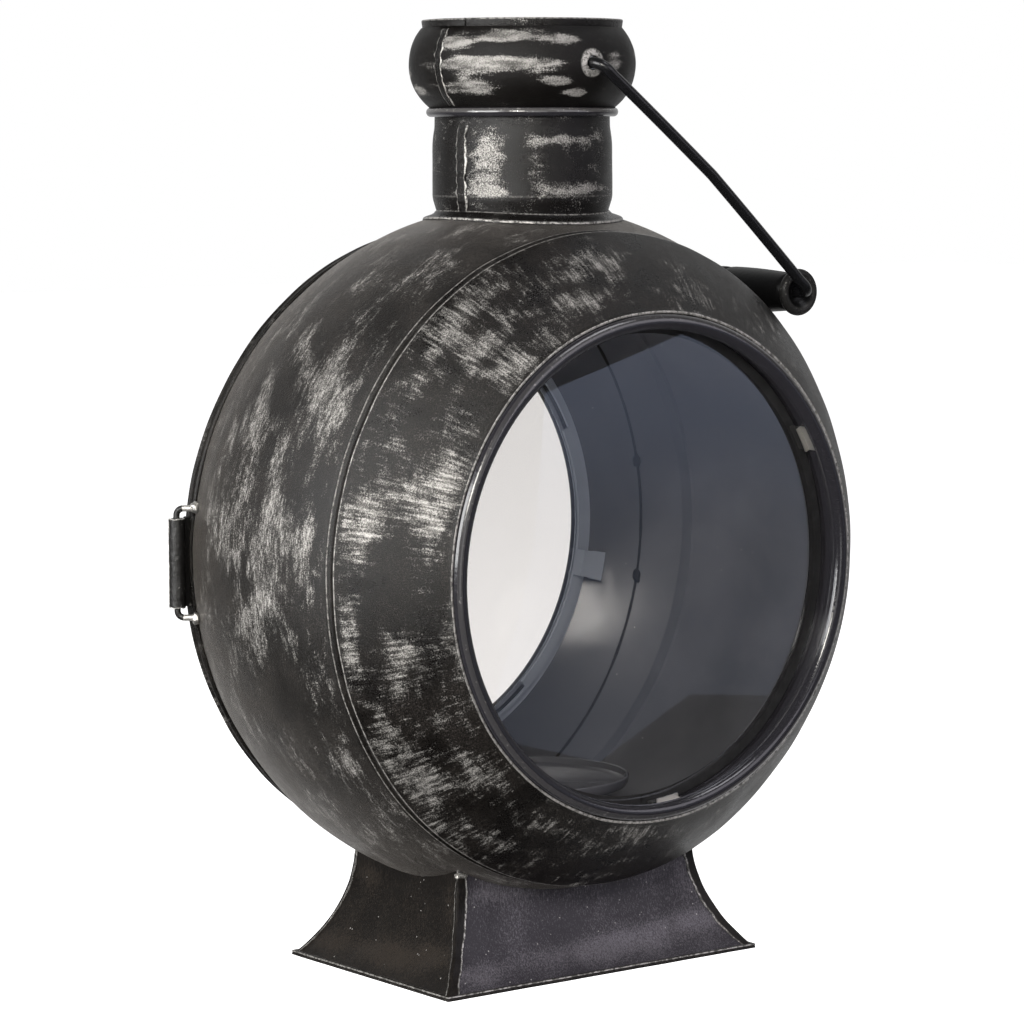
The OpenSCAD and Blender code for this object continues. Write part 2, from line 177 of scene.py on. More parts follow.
def lathe(name, profile, place, turns=360, span=(0.0, 360.0), shape=None, sharp=40.0, rubs_and_highlights=None):
    """Turns a closed profile of (radius, height, wear, slot) rows into a solid.

    shape(r, h, a) may return changed r, h and a, which is how dents and wavy edges are made.
    The last argument lists the places where the lacquer is rubbed thin, and a few where a highlight is
    painted in.
    """
    full = span[1] - span[0] >= 359.9
    steps = turns if full else turns + 1
    verts, wear, rub_and_highlight = [], [], []
    for j in range(steps):
        a = math.radians(span[0] + (span[1] - span[0]) * j / turns)
        for r, h, w, _ in profile:
            verts.append(place(*(shape(r, h, a) if shape else (r, h, a))))
            wear.append(w)
            rub_and_highlight.append(rub_and_highlight_level(rubs_and_highlights, math.degrees(a), h) if rubs_and_highlights else 0.0)
    faces = ring_faces(steps, len(profile), full)
    slots = [s for _, _, _, s in profile] * turns
    if not full:
        faces += end_faces(steps, len(profile))
        slots += [profile[0][3]] * 2
    return make_mesh(name, verts, faces, slots, wear, sharp, rub_and_highlight)


def rub_and_highlight_level(rubs_and_highlights, a, h):
    """The level of rubbing and of painted highlight at angle a and height h, from places of given size and
    strength.
    """
    far = 3.0
    most = 1.2
    total = 0.0
    for middle_a, middle_h, half_a, half_h, strength in rubs_and_highlights:
        away_a = (a - middle_a + 180.0) % 360.0 - 180.0
        d = (away_a / half_a) ** 2 + ((h - middle_h) / half_h) ** 2
        if d < far * far:
            total += strength / (1.0 + d * d)
    return min(total, most)


def turned_about(rubs_and_highlights):
    """The same places on the far side: half a turn round, and mirrored along the axis."""
    return [(a + 180.0, -h, half_a, half_h, strength) for a, h, half_a, half_h, strength in rubs_and_highlights]


def row(r, h, wear=0.0, slot=0):
    return (r, h, wear, slot)


def section(points, r=0.0, h=0.0, slot=0):
    """Rows from (radius, height) or (radius, height, wear) points, measured from the corner (r, h)."""
    return [row(r + p[0], h + p[1], p[2] if len(p) > 2 else 0.0, slot) for p in points]


def arc(centre, radius, start, end, count, wear=0.0, slot=0):
    """Profile rows along an arc, from one angle to another in degrees, both ends included."""
    rows = []
    for i in range(count + 1):
        t = math.radians(start + (end - start) * i / count)
        rows.append(row(centre[0] + radius * math.cos(t), centre[1] + radius * math.sin(t), wear, slot))
    return rows


def worn_between(rows, first, last, wear, rest):
    """The same rows with one wear from the first to the last, and another on the rest."""
    return [row(r, h, wear if first <= i <= last else rest, s) for i, (r, h, _, s) in enumerate(rows)]


def flipped(rows):
    """The same rows mirrored along the axis, in the opposite order."""
    return [(r, -h, w, s) for r, h, w, s in reversed(rows)]


def smooth_noise(x, y, z, scale, seed=0.0):
    """Smooth noise from -1 to 1 with bumps about scale millimetres across."""
    return noise.noise(Vector((x / scale + seed, y / scale - seed, z / scale + 2 * seed)))


def tube(name, points, radii, sides, wear=None):
    """A round rod with flat ends along a polyline, with one radius per point."""
    points = [Vector(p) for p in points]
    count = len(points)
    tangents = [(points[min(i + 1, count - 1)] - points[max(i - 1, 0)]).normalized() for i in range(count)]
    up = Vector((0, 0, 1)) if abs(tangents[0].z) < 0.9 else Vector((1, 0, 0))
    side = tangents[0].cross(up).normalized()
    verts, wears = [], []
    for i in range(count):
        side = (side - tangents[i] * side.dot(tangents[i])).normalized()
        other = tangents[i].cross(side)
        for a in circle(sides):
            verts.append(points[i] + (side * math.cos(a) + other * math.sin(a)) * radii[i])
            wears.append(wear[i] if wear else 0.0)
    faces = ring_faces(count, sides)
    faces.append(tuple(reversed(range(sides))))
    faces.append(tuple((count - 1) * sides + k for k in range(sides)))
    return make_mesh(name, verts, faces, None, wears, 50.0)


def sheet_solid(name, grid, thickness, sharp=40.0):
    """A sheet of metal from a grid of (point, wear, rubbing with painted highlight) on its outer face.
    Thickness goes inwards.
    """
    rows_n, cols_n = len(grid), len(grid[0])
    points = [[Vector(p) for p, _, _ in line] for line in grid]
    verts, faces, wears, rubs_and_highlights = [], [], [], []
    for i in range(rows_n):
        for j in range(cols_n):
            du = points[min(i + 1, rows_n - 1)][j] - points[max(i - 1, 0)][j]
            dv = points[i][min(j + 1, cols_n - 1)] - points[i][max(j - 1, 0)]
            normal = du.cross(dv).normalized()
            verts += [points[i][j], points[i][j] - normal * thickness]
            wears += [grid[i][j][1]] * 2
            rubs_and_highlights += [grid[i][j][2]] * 2

    def at(i, j, inner):
        return 2 * (i * cols_n + j) + inner

    for i in range(rows_n - 1):
        for j in range(cols_n - 1):
            for inner in (0, 1):
                corners = ((i, j), (i + 1, j), (i + 1, j + 1), (i, j + 1))
                faces.append(tuple(at(*corner, inner) for corner in corners))
    border = [(i, 0) for i in range(rows_n)]
    border += [(rows_n - 1, j) for j in range(1, cols_n)]
    border += [(i, cols_n - 1) for i in range(rows_n - 2, -1, -1)]
    border += [(0, j) for j in range(cols_n - 2, 0, -1)]
    for (i, j), (k, m) in zip(border, border[1:] + border[:1]):
        faces.append((at(i, j, 0), at(k, m, 0), at(k, m, 1), at(i, j, 1)))
    return make_mesh(name, verts, faces, None, wears, sharp, rubs_and_highlights)


def blob(name, at, size, seed, segments, detail, rough, sharp, worn):
    """An uneven round lump. size is its half size, and rough is how far its surface goes in and out."""
    rings = 11
    verts, wears = [], []
    for i in range(rings):
        polar = math.pi * i / (rings - 1)
        for a in circle(segments):
            n = Vector((math.sin(polar) * math.cos(a), math.sin(polar) * math.sin(a), math.cos(polar)))
            swell = 1.0 + rough * smooth_noise(n.x * detail, n.y * detail, n.z * detail, 2.0, seed)
            verts.append(at + Vector((n.x * size[0], n.y * size[1], n.z * size[2])) * swell)
            wears.append(0.5 + 0.5 * abs(n.z) if worn else 0.0)
    return make_mesh(name, verts, ring_faces(rings, segments), None, wears, sharp)


def cut_away(piece, cutter):
    """Cuts one mesh out of another and removes the cutter."""
    cut = piece.modifiers.new("cut", "BOOLEAN")
    cut.operation = "DIFFERENCE"
    cut.solver = "EXACT"
    cut.object = cutter
    depsgraph = bpy.context.evaluated_depsgraph_get()
    result = bpy.data.meshes.new_from_object(piece.evaluated_get(depsgraph))
    piece.modifiers.clear()
    piece.data = result
    bpy.data.objects.remove(cutter)
    return piece


def finish_piece(piece, body, slot, materials, *nodes):
    """Gives a piece its materials and its body, and hides the CAD nodes that it stands for. The slot is not
    used.
    """
    for material in materials:
        piece.data.materials.append(material)
    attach(piece, body)
    if nodes:
        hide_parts(*nodes)


# ---------------------------------------------------------------- material builder
class Value:
    """A shader socket that takes part in sums and products."""

    def __init__(self, nodes, socket):
        self.nodes = nodes
        self.socket = socket

    def __add__(self, other):
        return self.nodes.math("ADD", self, other)

    def __sub__(self, other):
        return self.nodes.math("SUBTRACT", self, other)

    def __rsub__(self, other):
        return self.nodes.math("SUBTRACT", other, self)

    def __mul__(self, other):
        return self.nodes.math("MULTIPLY", self, other)

    def __truediv__(self, other):
        return self.nodes.math("DIVIDE", self, other)

    def __abs__(self):
        return self.nodes.math("ABSOLUTE", self)


class Nodes:
    """A short way to write the nodes of a material or of the world."""

    def __init__(self, owner, output_kind="ShaderNodeOutputMaterial"):
        owner.use_nodes = True
        self.owner = owner
        self.tree = owner.node_tree
        self.tree.nodes.clear()
        self.output = self.tree.nodes.new(output_kind)

    def plug(self, socket, value):
        if isinstance(value, Value):
            self.tree.links.new(value.socket, socket)
        elif isinstance(value, tuple) and socket.type == "RGBA":
            socket.default_value = (*value, 1.0)
        elif value is not None:
            socket.default_value = value

    def node(self, kind, inputs=None, output=0, **settings):
        """Adds a node with its settings and inputs, and gives back one of its outputs."""
        made = self.tree.nodes.new(kind)
        for key, value in settings.items():
            setattr(made, key, value)
        for key, value in (inputs or {}).items():
            self.plug(made.inputs[key], value)
        return Value(self, made.outputs[output])

    def show(self, shader):
        """Links a shader to the output."""
        self.plug(self.output.inputs["Surface"], shader)
        return self.owner

    def math(self, op, a, b=0.0):
        return self.node("ShaderNodeMath", {0: a, 1: b}, operation=op)

    def step(self, value, low, high, out_low=0.0, out_high=1.0):
        """A smooth step between two values."""
        inputs = {"Value": value, "From Min": low, "From Max": high, "To Min": out_low, "To Max": out_high}
        return self.node("ShaderNodeMapRange", inputs, interpolation_type="SMOOTHSTEP")

    def vector(self, x, y, z):
        return self.node("ShaderNodeCombineXYZ", {0: x, 1: y, 2: z})

    def split(self, vector):
        """The x, y and z of a vector."""
        first = self.node("ShaderNodeSeparateXYZ", {0: vector})
        return [Value(self, socket) for socket in first.socket.node.outputs]

    def noise(self, vector, scale=1.0, detail=2.0, rough=0.5, distortion=0.0):
        inputs = {"Vector": vector, "Scale": scale, "Detail": detail, "Roughness": rough}
        return self.node("ShaderNodeTexNoise", inputs | {"Distortion": distortion}, "Fac")

    def specks(self, vector, scale, low, high):
        """1 in small round specks, falling to 0 round them."""
        away = self.node("ShaderNodeTexVoronoi", {"Vector": vector, "Scale": scale}, "Distance")
        return self.step(away, low, high, 1.0, 0.0)

    def colour(self, fac, a, b):
        return self.node("ShaderNodeMix", {"Factor": fac, "A": a, "B": b}, "Result", data_type="RGBA")

    def mix(self, fac, a, b):
        return self.node("ShaderNodeMix", {"Factor": fac, "A": a, "B": b}, "Result", data_type="FLOAT")

    def bump(self, height, distance, strength=1.0, normal=None):
        inputs = {"Strength": strength, "Distance": distance, "Height": height, "Normal": normal}
        return self.node("ShaderNodeBump", inputs)

    def painted(self, key):
        """A value that make_mesh puts on each vertex: wear, or the rubbing with its painted highlights."""
        return self.node("ShaderNodeAttribute", output="Fac", attribute_name=key)

    def chipped_edge(self, flat, low, high, scale, chip_low, chip_high):
        """Bare metal on worn edges, broken up into chips."""
        chips = self.step(self.noise(flat, scale, 3.0, 0.7), chip_low, chip_high)
        return self.step(self.painted("wear"), low, high) * (chips * 0.85 + 0.15)

    def place_mm(self):
        """The piece's own coordinates in millimetres."""
        place = self.node("ShaderNodeTexCoord", output="Object")
        inputs = {0: place, 1: (1 / MM, 1 / MM, 1 / MM)}
        return self.node("ShaderNodeVectorMath", inputs, operation="MULTIPLY")

    def surface(self, **inputs):
        """Makes a Principled shader the output. A _ in a name stands for the space in the socket's."""
        inputs = {key.replace("_", " "): value for key, value in inputs.items()}
        return self.show(self.node("ShaderNodeBsdfPrincipled", inputs))


def material_nodes(name):
    return Nodes(bpy.data.materials.new(name))


LACQUER = (0.0028, 0.0023, 0.002)
LACQUER_WARM = (0.03, 0.0255, 0.022)
DULL_SILVER = (0.24, 0.23, 0.215)
SILVER = (0.56, 0.54, 0.51)
BARE = (0.62, 0.6, 0.57)


# How the steel is mottled. The shares are the weights of the fine grain and of the rubbed places, a few of
# which are painted highlights. A layer is
# noise: length round the axis and width in mm, detail, roughness, shift, distortion, weight.
BODY_SHARES = (0.55, 0.27)
BODY_PATCHES = (0.05, 0.46)
DRUM_LAYERS = [
    (26.0, 11.0, 3.0, 0.6, 0.0, 0.3, 0.95),
    (15.0, 3.2, 2.0, 0.6, 5.0, 0.3, 0.5),
    (3.4, 0.8, 2.0, 0.6, 11.0, 0.4, 0.35),
]
DISH_LAYERS = [
    (22.0, 12.0, 3.0, 0.6, 0.0, 0.3, 0.8),
    (6.0, 6.0, 3.0, 0.65, 15.0, 0.3, 0.5),
    (1.5, 11.0, 2.0, 0.55, 4.0, 0.0, 0.4),
]
BULB_LAYERS = [(13.0, 2.8, 2.0, 0.55, 0.0, 0.3, 0.6)]
NECK_LAYERS = [(9.0, 4.0, 3.0, 0.6, 0.0, 0.4, 0.8)]


def rubbed_steel(
    name,
    ring_mm=0.0,
    layers=(),
    shares=(0.5, 0.3),
    patches=(0.12, 0.32),
    full_patch=1.0,
    lying=False,
    sloping=False,
    brushed=True,
    fade=None,
    dull=0.2,
    shine=0.3,
    sheen=0.0,
    contrast=0.62,
    warmth=1.0,
):
    """Black lacquer rubbed through to silver steel, with a few painted highlights among the rubbed places.

    ring_mm is the radius that the layers' lengths are measured at. No layers means plain clouds. lying turns
    the pattern round the body's axis and not the neck's, and sloping lets it run along the dish's cone.
    brushed takes the streaks in the silver from the last layer. fade is a smooth step, over the distance from
    the body's middle, that thins the patches out.
    """
    g = material_nodes(name)
    flat = g.place_mm()
    x, y, z = g.split(flat)
    along, across = (y, z - axis_z) if lying else (z, y)
    r = g.math("SQRT", x * x + across * across)
    cos, sin = x / r, across / r
    run, seed = along, 3.0
    if sloping:
        run = abs(along) * 0.74 - r * 0.67
        seed = g.math("SIGN", along) * 9.0

    grain = g.noise(flat, 1.7, 2.0, 0.65) - 0.5
    fine = g.noise(flat, 4.5, 1.0, 0.5) - 0.5
    streaks = grain
    level = None if layers else (g.noise(flat, 0.08, 3.0, 0.6) - 0.5) * 0.8
    for length, width, detail, rough, shift, distortion, weight in layers:
        k = ring_mm / length
        place = g.vector(cos * k, sin * k, run * (1.0 / width) + (seed + shift))
        layer = g.noise(place, 1.0, detail, rough, distortion) - 0.5
        level = level + layer * weight if level else layer * weight
        streaks = layer if brushed else grain
    level = level + grain * shares[0] + g.painted("rub_and_highlight") * shares[1]
    patch = g.step(level, *patches, 0.0, full_patch)
    if fade:
        patch = patch * g.step(abs(along), *fade)
    speckle = g.step(grain + fine + streaks * 0.7, -0.2, 0.2)
    patch = patch * (speckle * contrast + (0.8 - contrast * 0.68))
    edge = g.chipped_edge(flat, 0.35, 0.85, 0.55, 0.4, 0.58)
    bare = g.math("MAXIMUM", patch * 0.8, edge)
    tone = g.noise(flat, 0.05, 3.0, 0.55)
    freckle = g.step(fine + grain, -0.06, 0.26)
    lacquer = g.colour(freckle * g.step(tone, 0.36, 0.62, 0.15 * warmth, warmth), LACQUER, LACQUER_WARM)
    silver = g.colour(g.step(streaks + grain * 0.5, -0.2, 0.24), DULL_SILVER, SILVER)
    relief = grain + fine * 0.8 + bare * 0.2
    dents = g.bump(g.noise(flat, 0.045, 2.0, 0.5), 0.0012, 0.3)
    return g.surface(
        Base_Color=g.colour(edge * 0.5, g.colour(bare, lacquer, silver), BARE),
        Metallic=g.mix(bare, 0.0, 0.92),
        Roughness=g.mix(bare, g.step(tone, 0.3, 0.75, dull, dull + 0.12), 0.46) + grain * 0.16,
        Specular_IOR_Level=shine,
        Sheen_Weight=sheen,
        Sheen_Tint=(1.0, 0.92, 0.84),
        Sheen_Roughness=0.4,
        Normal=g.bump(relief, 0.0003, 0.6, dents),
    )


def foot_metal(name, tint, rubbed_and_lit_tint):
    """Satin lacquer with faint upright brushing, small pale specks, and soft bands in a second tint that are
    partly random and partly painted highlight.
    """
    g = material_nodes(name)
    flat = g.place_mm()
    x, y, z = g.split(flat)
    brushing = g.noise(g.vector(x * 1.7, y * 1.7, z * 0.3), 1.0, 3.0, 0.65)
    grain = g.noise(flat, 1.6, 2.0, 0.65)
    clouds = g.noise(flat, 0.04, 3.0, 0.55, 0.4)
    speck = g.specks(flat, 0.33, 0.07, 0.13) * g.step(g.noise(flat, 0.12, 1.0), 0.56, 0.62)
    edge = g.chipped_edge(flat, 0.3, 0.9, 0.45, 0.42, 0.6)
    silver = g.math("MAXIMUM", speck * 0.7, edge)
    level = (clouds - 0.5) * 0.35 + (brushing - 0.5) * 0.8 + (grain - 0.5) * 0.6 + g.painted("rub_and_highlight") * 0.24
    # Where the level is high, the lacquer takes the second tint: random thinning, plus the painted highlight
    # bands from the foot's table.
    thin = g.step(level, -0.04, 0.46)
    dents = g.bump(clouds, 0.002, 0.3)
    return g.surface(
        Base_Color=g.colour(silver, g.colour(thin, tint, rubbed_and_lit_tint), BARE),
        Metallic=g.mix(silver, thin * 0.7, 0.95),
        Roughness=g.mix(silver, 0.4, 0.35) + (grain - 0.5) * 0.2,
        Specular_IOR_Level=0.24,
        Normal=g.bump(brushing * 0.8 + grain, 0.0002, 0.5, dents),
    )


def inner_paint(name, dark, light):
    """Smooth grey-blue satin paint inside the shells, with faint soft unevenness and a few dust specks."""
    g = material_nodes(name)
    flat = g.place_mm()
    clouds = g.noise(flat, 0.02, 3.0, 0.5, 0.3)
    dust = g.specks(flat, 0.09, 0.018, 0.03)
    fine = g.noise(flat, 1.2, 3.0, 0.6)
    paint = g.colour(g.step(clouds, 0.3, 0.7), dark, light)
    return g.surface(
        Base_Color=g.colour(dust * 0.7, paint, (0.6, 0.6, 0.6)),
        Metallic=0.1,
        Roughness=fine * 0.1 + 0.2,
        Normal=g.bump(clouds + fine * 0.02, 0.003, 0.3),
    )


def worn_metal(name, dark_share):
    """Bare steel with lacquer left in its hollows."""
    g = material_nodes(name)
    flat = g.place_mm()
    blots = g.noise(flat, 0.45, 4.0, 0.65, 0.6)
    grain = g.noise(flat, 2.6, 3.0, 0.6)
    dark = g.step(blots + grain * 0.25, dark_share, dark_share + 0.16, 1.0, 0.0)
    dark = dark * (1.0 - g.step(g.painted("wear"), 0.3, 0.9) * 0.9)
    return g.surface(
        Base_Color=g.colour(dark, BARE, LACQUER),
        Metallic=g.mix(dark, 0.95, 0.0),
        Roughness=grain * 0.2 + 0.3,
        Normal=g.bump(blots + grain * 0.6, 0.0004, 0.6),
    )


def gloss_black(name, rough, colour, scratch, coat=0.4):
    """Black enamel with fine scratches that follow the surface and slight orange peel."""
    g = material_nodes(name)
    flat = g.place_mm()
    x, y, z = g.split(flat)
    peel = g.noise(flat, 0.5, 2.0, 0.5)
    fine = g.noise(g.vector(x * 0.35, y * 0.35, z * 2.4), 1.0, 3.0, 0.6)
    chips = g.step(g.noise(flat, 0.6, 4.0, 0.7), 0.6, 0.7)
    edge = g.step(g.painted("wear"), 0.3, 0.9) * (chips + 0.12)
    enamel = g.colour(fine * scratch, colour, tuple(c * 2.6 for c in colour))
    return g.surface(
        Base_Color=g.colour(edge, enamel, SILVER),
        Metallic=edge * 0.9,
        Roughness=(fine - 0.5) * 0.16 + rough,
        Normal=g.bump(peel + fine * 0.3, 0.0003, 0.35),
        Specular_IOR_Level=coat,
        Coat_Weight=coat,
        Coat_Roughness=rough * 0.7,
    )


def clear_glass(name):
    """Thin flat glass: clear from the front, a mirror at a glancing angle."""
    g = material_nodes(name)
    smudge = g.noise(g.place_mm(), 0.03, 3.0, 0.6)
    # Both faces' reflections are taken at the face that looks at the viewer
    back = g.node("ShaderNodeNewGeometry", output="Backfacing")
    fresnel = g.node("ShaderNodeFresnel", {"IOR": 1.52}) * 2.0 * (1.0 - back)
    clear = g.node("ShaderNodeBsdfTransparent", {"Color": (0.922, 0.914, 0.908)})
    gloss = g.node("ShaderNodeBsdfAnisotropic", {"Color": (0.95, 0.97, 1.0), "Roughness": smudge * 0.02})
    return g.show(g.node("ShaderNodeMixShader", {0: fresnel, 1: clear, 2: gloss}))


def rubber(name):
    """Matt black rubber with faint bloom."""
    g = material_nodes(name)
    flat = g.place_mm()
    bloom = g.noise(flat, 0.2, 3.0, 0.6)
    return g.surface(
        Base_Color=g.colour(g.step(bloom, 0.4, 0.7), (0.01, 0.01, 0.011), (0.02, 0.02, 0.022)),
        Roughness=bloom * 0.2 + 0.6,
        Normal=g.bump(g.noise(flat, 1.5, 2.0), 0.0001, 0.4),
    )


drum_skin = rubbed_steel(
    "drum_steel",
    body_r,
    DRUM_LAYERS,
    shares=BODY_SHARES,
    patches=BODY_PATCHES,
    lying=True,
    fade=(seam_y - 3.5, seam_y - 1.0, 1.0, 0.1),
    dull=0.38,
    shine=0.34,
    sheen=0.12,
)
dish_skin = rubbed_steel(
    "dish_steel",
    128.0,
    DISH_LAYERS,
    shares=BODY_SHARES,
    patches=BODY_PATCHES,
    lying=True,
    sloping=True,
    fade=(seam_y + 3.0, seam_y + 7.0, 0.2, 1.0),
    dull=0.27,
    shine=0.26,
)
neck_skin = rubbed_steel(
    "neck_steel",
    40.0,
    NECK_LAYERS,
    shares=(0.6, 0.4),
    patches=(0.1, 0.4),
    brushed=False,
    contrast=0.3,
    warmth=0.2,
)
bulb_skin = rubbed_steel(
    "bulb_steel",
    50.0,
    BULB_LAYERS,
    shares=(0.45, 0.5),
    patches=(0.18, 0.38),
    full_patch=0.82,
    dull=0.36,
    shine=0.2,
    warmth=0.2,
)
plain_skin = rubbed_steel("plain_steel", warmth=0.2)
# The front and back walls take a lighter, purplish copy of the side walls' lacquer: painted light for how the
# lamps fall on them.
foot_lit_skin = foot_metal("foot_front_lit_satin", (0.024, 0.0216, 0.0267), (0.17, 0.158, 0.177))
foot_side_skin = foot_metal("foot_side_satin", (0.004, 0.003, 0.0023), (0.045, 0.036, 0.029))
inside_skin = inner_paint("inside_paint", (0.14, 0.145, 0.166), (0.185, 0.191, 0.216))
# The inside paint made much lighter for the rear window's sleeve, clips and strips: painted light, as if lit
# through the rear glass.
lit_frame_paint = inner_paint("window_frame_lit_paint", (0.52, 0.57, 0.66), (0.62, 0.67, 0.76))
worn_skin = worn_metal("worn_edge_steel", 0.76)
bright_skin = worn_metal("bright_clip_steel", 0.3)
bezel_skin = gloss_black("bezel_gloss", 0.14, (0.011, 0.0105, 0.0125), 0.5)
wire_skin = gloss_black("wire_enamel", 0.3, (0.004, 0.004, 0.0045), 0.3, 0.25)
grip_skin = gloss_black("grip_lacquer", 0.42, (0.003, 0.003, 0.0032), 0.4, 0.1)
glass_skin = clear_glass("window_glass_clear")
rubber_skin = rubber("gasket_rubber_matt")


# ---------------------------------------------------------------- body shells
# Where handling has rubbed the lacquer thin, and in the dish and neck tables a few painted highlights: angle,
# distance along, half sizes, strength
DRUM_RUBS = [
    (150, -35, 6, 8, 1.0), (172, -22, 10, 10, 1.0), (189, -10, 5, 10, 0.75), (172, 10, 6, 12, 0.75),
    (127, -10, 3, 7, 0.5), (140, -2, 9, 3, 0.45), (156, 3, 5, 8, 0.45), (118, -33, 5, 6, 0.5),
    (212, -41, 3, 4, 0.8), (226, -36, 5, 5, 0.45), (197, -24, 5, 7, -0.6), (213, -8, 4, 6, 0.4),
    (145, -44, 11, 2, 0.55), (174, -42, 5, 3, 0.9), (198, -36, 4, 5, 0.45), (168, -36, 6, 3, -0.5),
]
DISH_RUBS_AND_HIGHLIGHT = [
    (126, -65, 8, 6, 0.8), (98, -72, 7, 5, 0.6), (170, -65, 6, 9, 1.0), (186, -62, 6, 4, 0.75),
    # The place at 164 degrees and -78 is a painted highlight beside the window, and turns up on the door's
    # dish as well.
    (180, -74, 7, 6, -0.8), (164, -78, 5, 12, 0.55), (197, -77, 6, 6, 0.8), (216, -65, 12, 6, 0.6),
    (221, -86, 7, 5, 0.65), (265, -90, 8, 3, 0.5), (132, -78, 5, 5, 0.7), (128, -88, 9, 4, 0.6),
    (142, -69, 4, 3, 0.5), (106, -83, 6, 5, 0.5), (68, -86, 12, 6, 0.35), (162, -88, 10, 5, 0.8),
    (238, -68, 6, 5, 0.4), (85, -62, 20, 4, -0.5),
]
BULB_RUBS = [
    (225, 412, 17, 2.4, 1.0), (195, 409.5, 9, 2.6, 0.9), (215, 400, 30, 3.2, 1.1),
    (254, 410.5, 10, 2.0, 0.8), (204, 390.5, 14, 3.6, 0.75), (250, 392.5, 8, 2.0, 0.85),
    (263, 387.7, 6, 1.8, 0.8), (284, 400.5, 7, 5.0, 0.7), (330, 404, 20, 2.6, 0.9),
    (345, 392, 14, 2.8, 0.8), (20, 409, 16, 2.4, 0.9), (40, 398, 22, 3.0, 1.0),
    (75, 390, 14, 2.6, 0.8), (100, 408, 18, 2.4, 0.9), (130, 397, 18, 3.2, 1.0),
    (160, 389, 12, 2.6, 0.7),
]
NECK_RUBS_AND_HIGHLIGHTS = [
    (210, 345, 14, 2.0, 1.0), (264, 345.5, 26, 2.4, 0.9), (265, 367.5, 24, 1.8, 0.75),
    # The tall places at 210 and 241 degrees are painted highlights up the neck, where the lamps are mirrored;
    # the one at 228 keeps the gap between them free of silver.
    (210, 358, 10.5, 13, 0.85), (241, 357, 5, 11, 0.3), (228, 357, 5, 14, -0.5),
    (30, 346, 40, 2.2, 0.9), (120, 366, 34, 2.0, 0.7), (100, 346, 24, 2.0, 0.7),
]
drum_rise = body_r - drum_edge_r
drum_arc_r = (seam_y**2 + drum_rise**2) / (2 * drum_rise)
drum_arc_at = (body_r - drum_arc_r, 0.0)


def drum_radius(y):
    """The drum's outer radius at a distance along the axis."""
    return drum_arc_at[0] + math.sqrt(max(drum_arc_r**2 - y * y, 0.0))


def hand_made(amount, scale, seed):
    """A shape function that presses a turned surface slightly inwards, as hand-beaten sheet is."""

    def shape(r, h, a):
        return r + amount * min(smooth_noise(*on_body(r, h, a), scale, seed) - 0.6, 0.0), h, a

    return shape


def drum_piece():
    half = math.degrees(math.asin(seam_y / drum_arc_r))
    outer = arc(drum_arc_at, drum_arc_r, -half * 0.985, half * 0.985, 64)
    inner = arc(drum_arc_at, drum_arc_r - sheet, half * 0.97, -half * 0.97, 40, 0.0, 1)
    tongue_r = band_r - sheet - 0.35
    rear = [row(drum_edge_r - 0.3, seam_y - 0.3)] + section([(0, -0.05), (0, 5.6)], tongue_r, seam_y)
    rear += section([(-0.3, band_w - 0.2), (-sheet, band_w - 0.4), (-sheet, -1.4)], tongue_r, seam_y, 1)
    profile = outer + rear + inner + flipped(rear)
    rubs_and_highlights = DRUM_RUBS + turned_about(DRUM_RUBS)
    piece = lathe("drum_skin", profile, on_body, shape=hand_made(0.35, 26.0, 1.3), rubs_and_highlights=rubs_and_highlights)
    plug = section([(0.01, 60), (neck_hole_r, 60), (neck_hole_r, 200), (0.01, 200)], 0.0, axis_z)
    return cut_away(piece, lathe("neck_hole_cutter", plug, on_crown, 96))


chord = math.hypot(band_r - sheet / 2 - lip_r, crease_y - lip_y)
dish_arc_r = (chord * chord / 4 + dish_bow * dish_bow) / (2 * dish_bow)
slope = Vector((lip_r - (band_r - sheet / 2), lip_y - crease_y)).normalized()
outward = Vector((slope.y, -slope.x))
dish_middle = Vector(((band_r - sheet / 2 + lip_r) / 2, (crease_y + lip_y) / 2))
dish_arc_at = dish_middle + outward * (dish_bow - dish_arc_r)


def cone_rows(offset, start, end, count, slot):
    """Rows along the dish's bowed cone. start and end run from 0 at the crease to 1 at the lip."""
    half = math.asin(chord / 2 / dish_arc_r)
    middle = math.atan2(outward.y, outward.x)
    rows = []
    for i in range(count + 1):
        a = middle - half + 2 * half * (start + (end - start) * i / count)
        r = dish_arc_at.x + (dish_arc_r + offset) * math.cos(a)
        h = dish_arc_at.y + (dish_arc_r + offset) * math.sin(a)
        rows.append(row(r, h, 0.0, slot))
    return rows


def dish_rows():
    """The dish's section: rolled edge, lap band with a shallow channel, crease, cone and lip bead."""
    # The wear on the rolled edge is partly real edge wear and partly a painted highlight along its ridge.
    rolled = [(-1.0, 0.05), (-0.45, 0.12), (0.1, 0.45, 0.3), (0.38, 0.95, 0.55), (0.42, 1.45, 0.6)]
    channel = [(0.2, 1.95, 0.35), (-0.25, 2.4), (-0.6, 2.9), (-0.6, 4.3), (-0.4, 5.0, 0.1)]
    crease = [(-0.12, 5.5, 0.5), (-0.06, 5.85, 0.8), (-0.28, 6.35, 0.4)]
    rows = section(rolled + channel + crease, band_r, seam_y)
    rows += cone_rows(sheet / 2, 0.02, 0.985, 44, 0)
    rows += worn_between(arc((lip_r, lip_y), 0.95, 35.0, 185.0, 10), 2, 6, 0.75, 0.2)
    rows += cone_rows(-sheet / 2, 0.985, 0.01, 30, 1)
    return rows + section([(-sheet, band_w - 0.3), (-sheet, 0.05)], band_r, seam_y, 1)


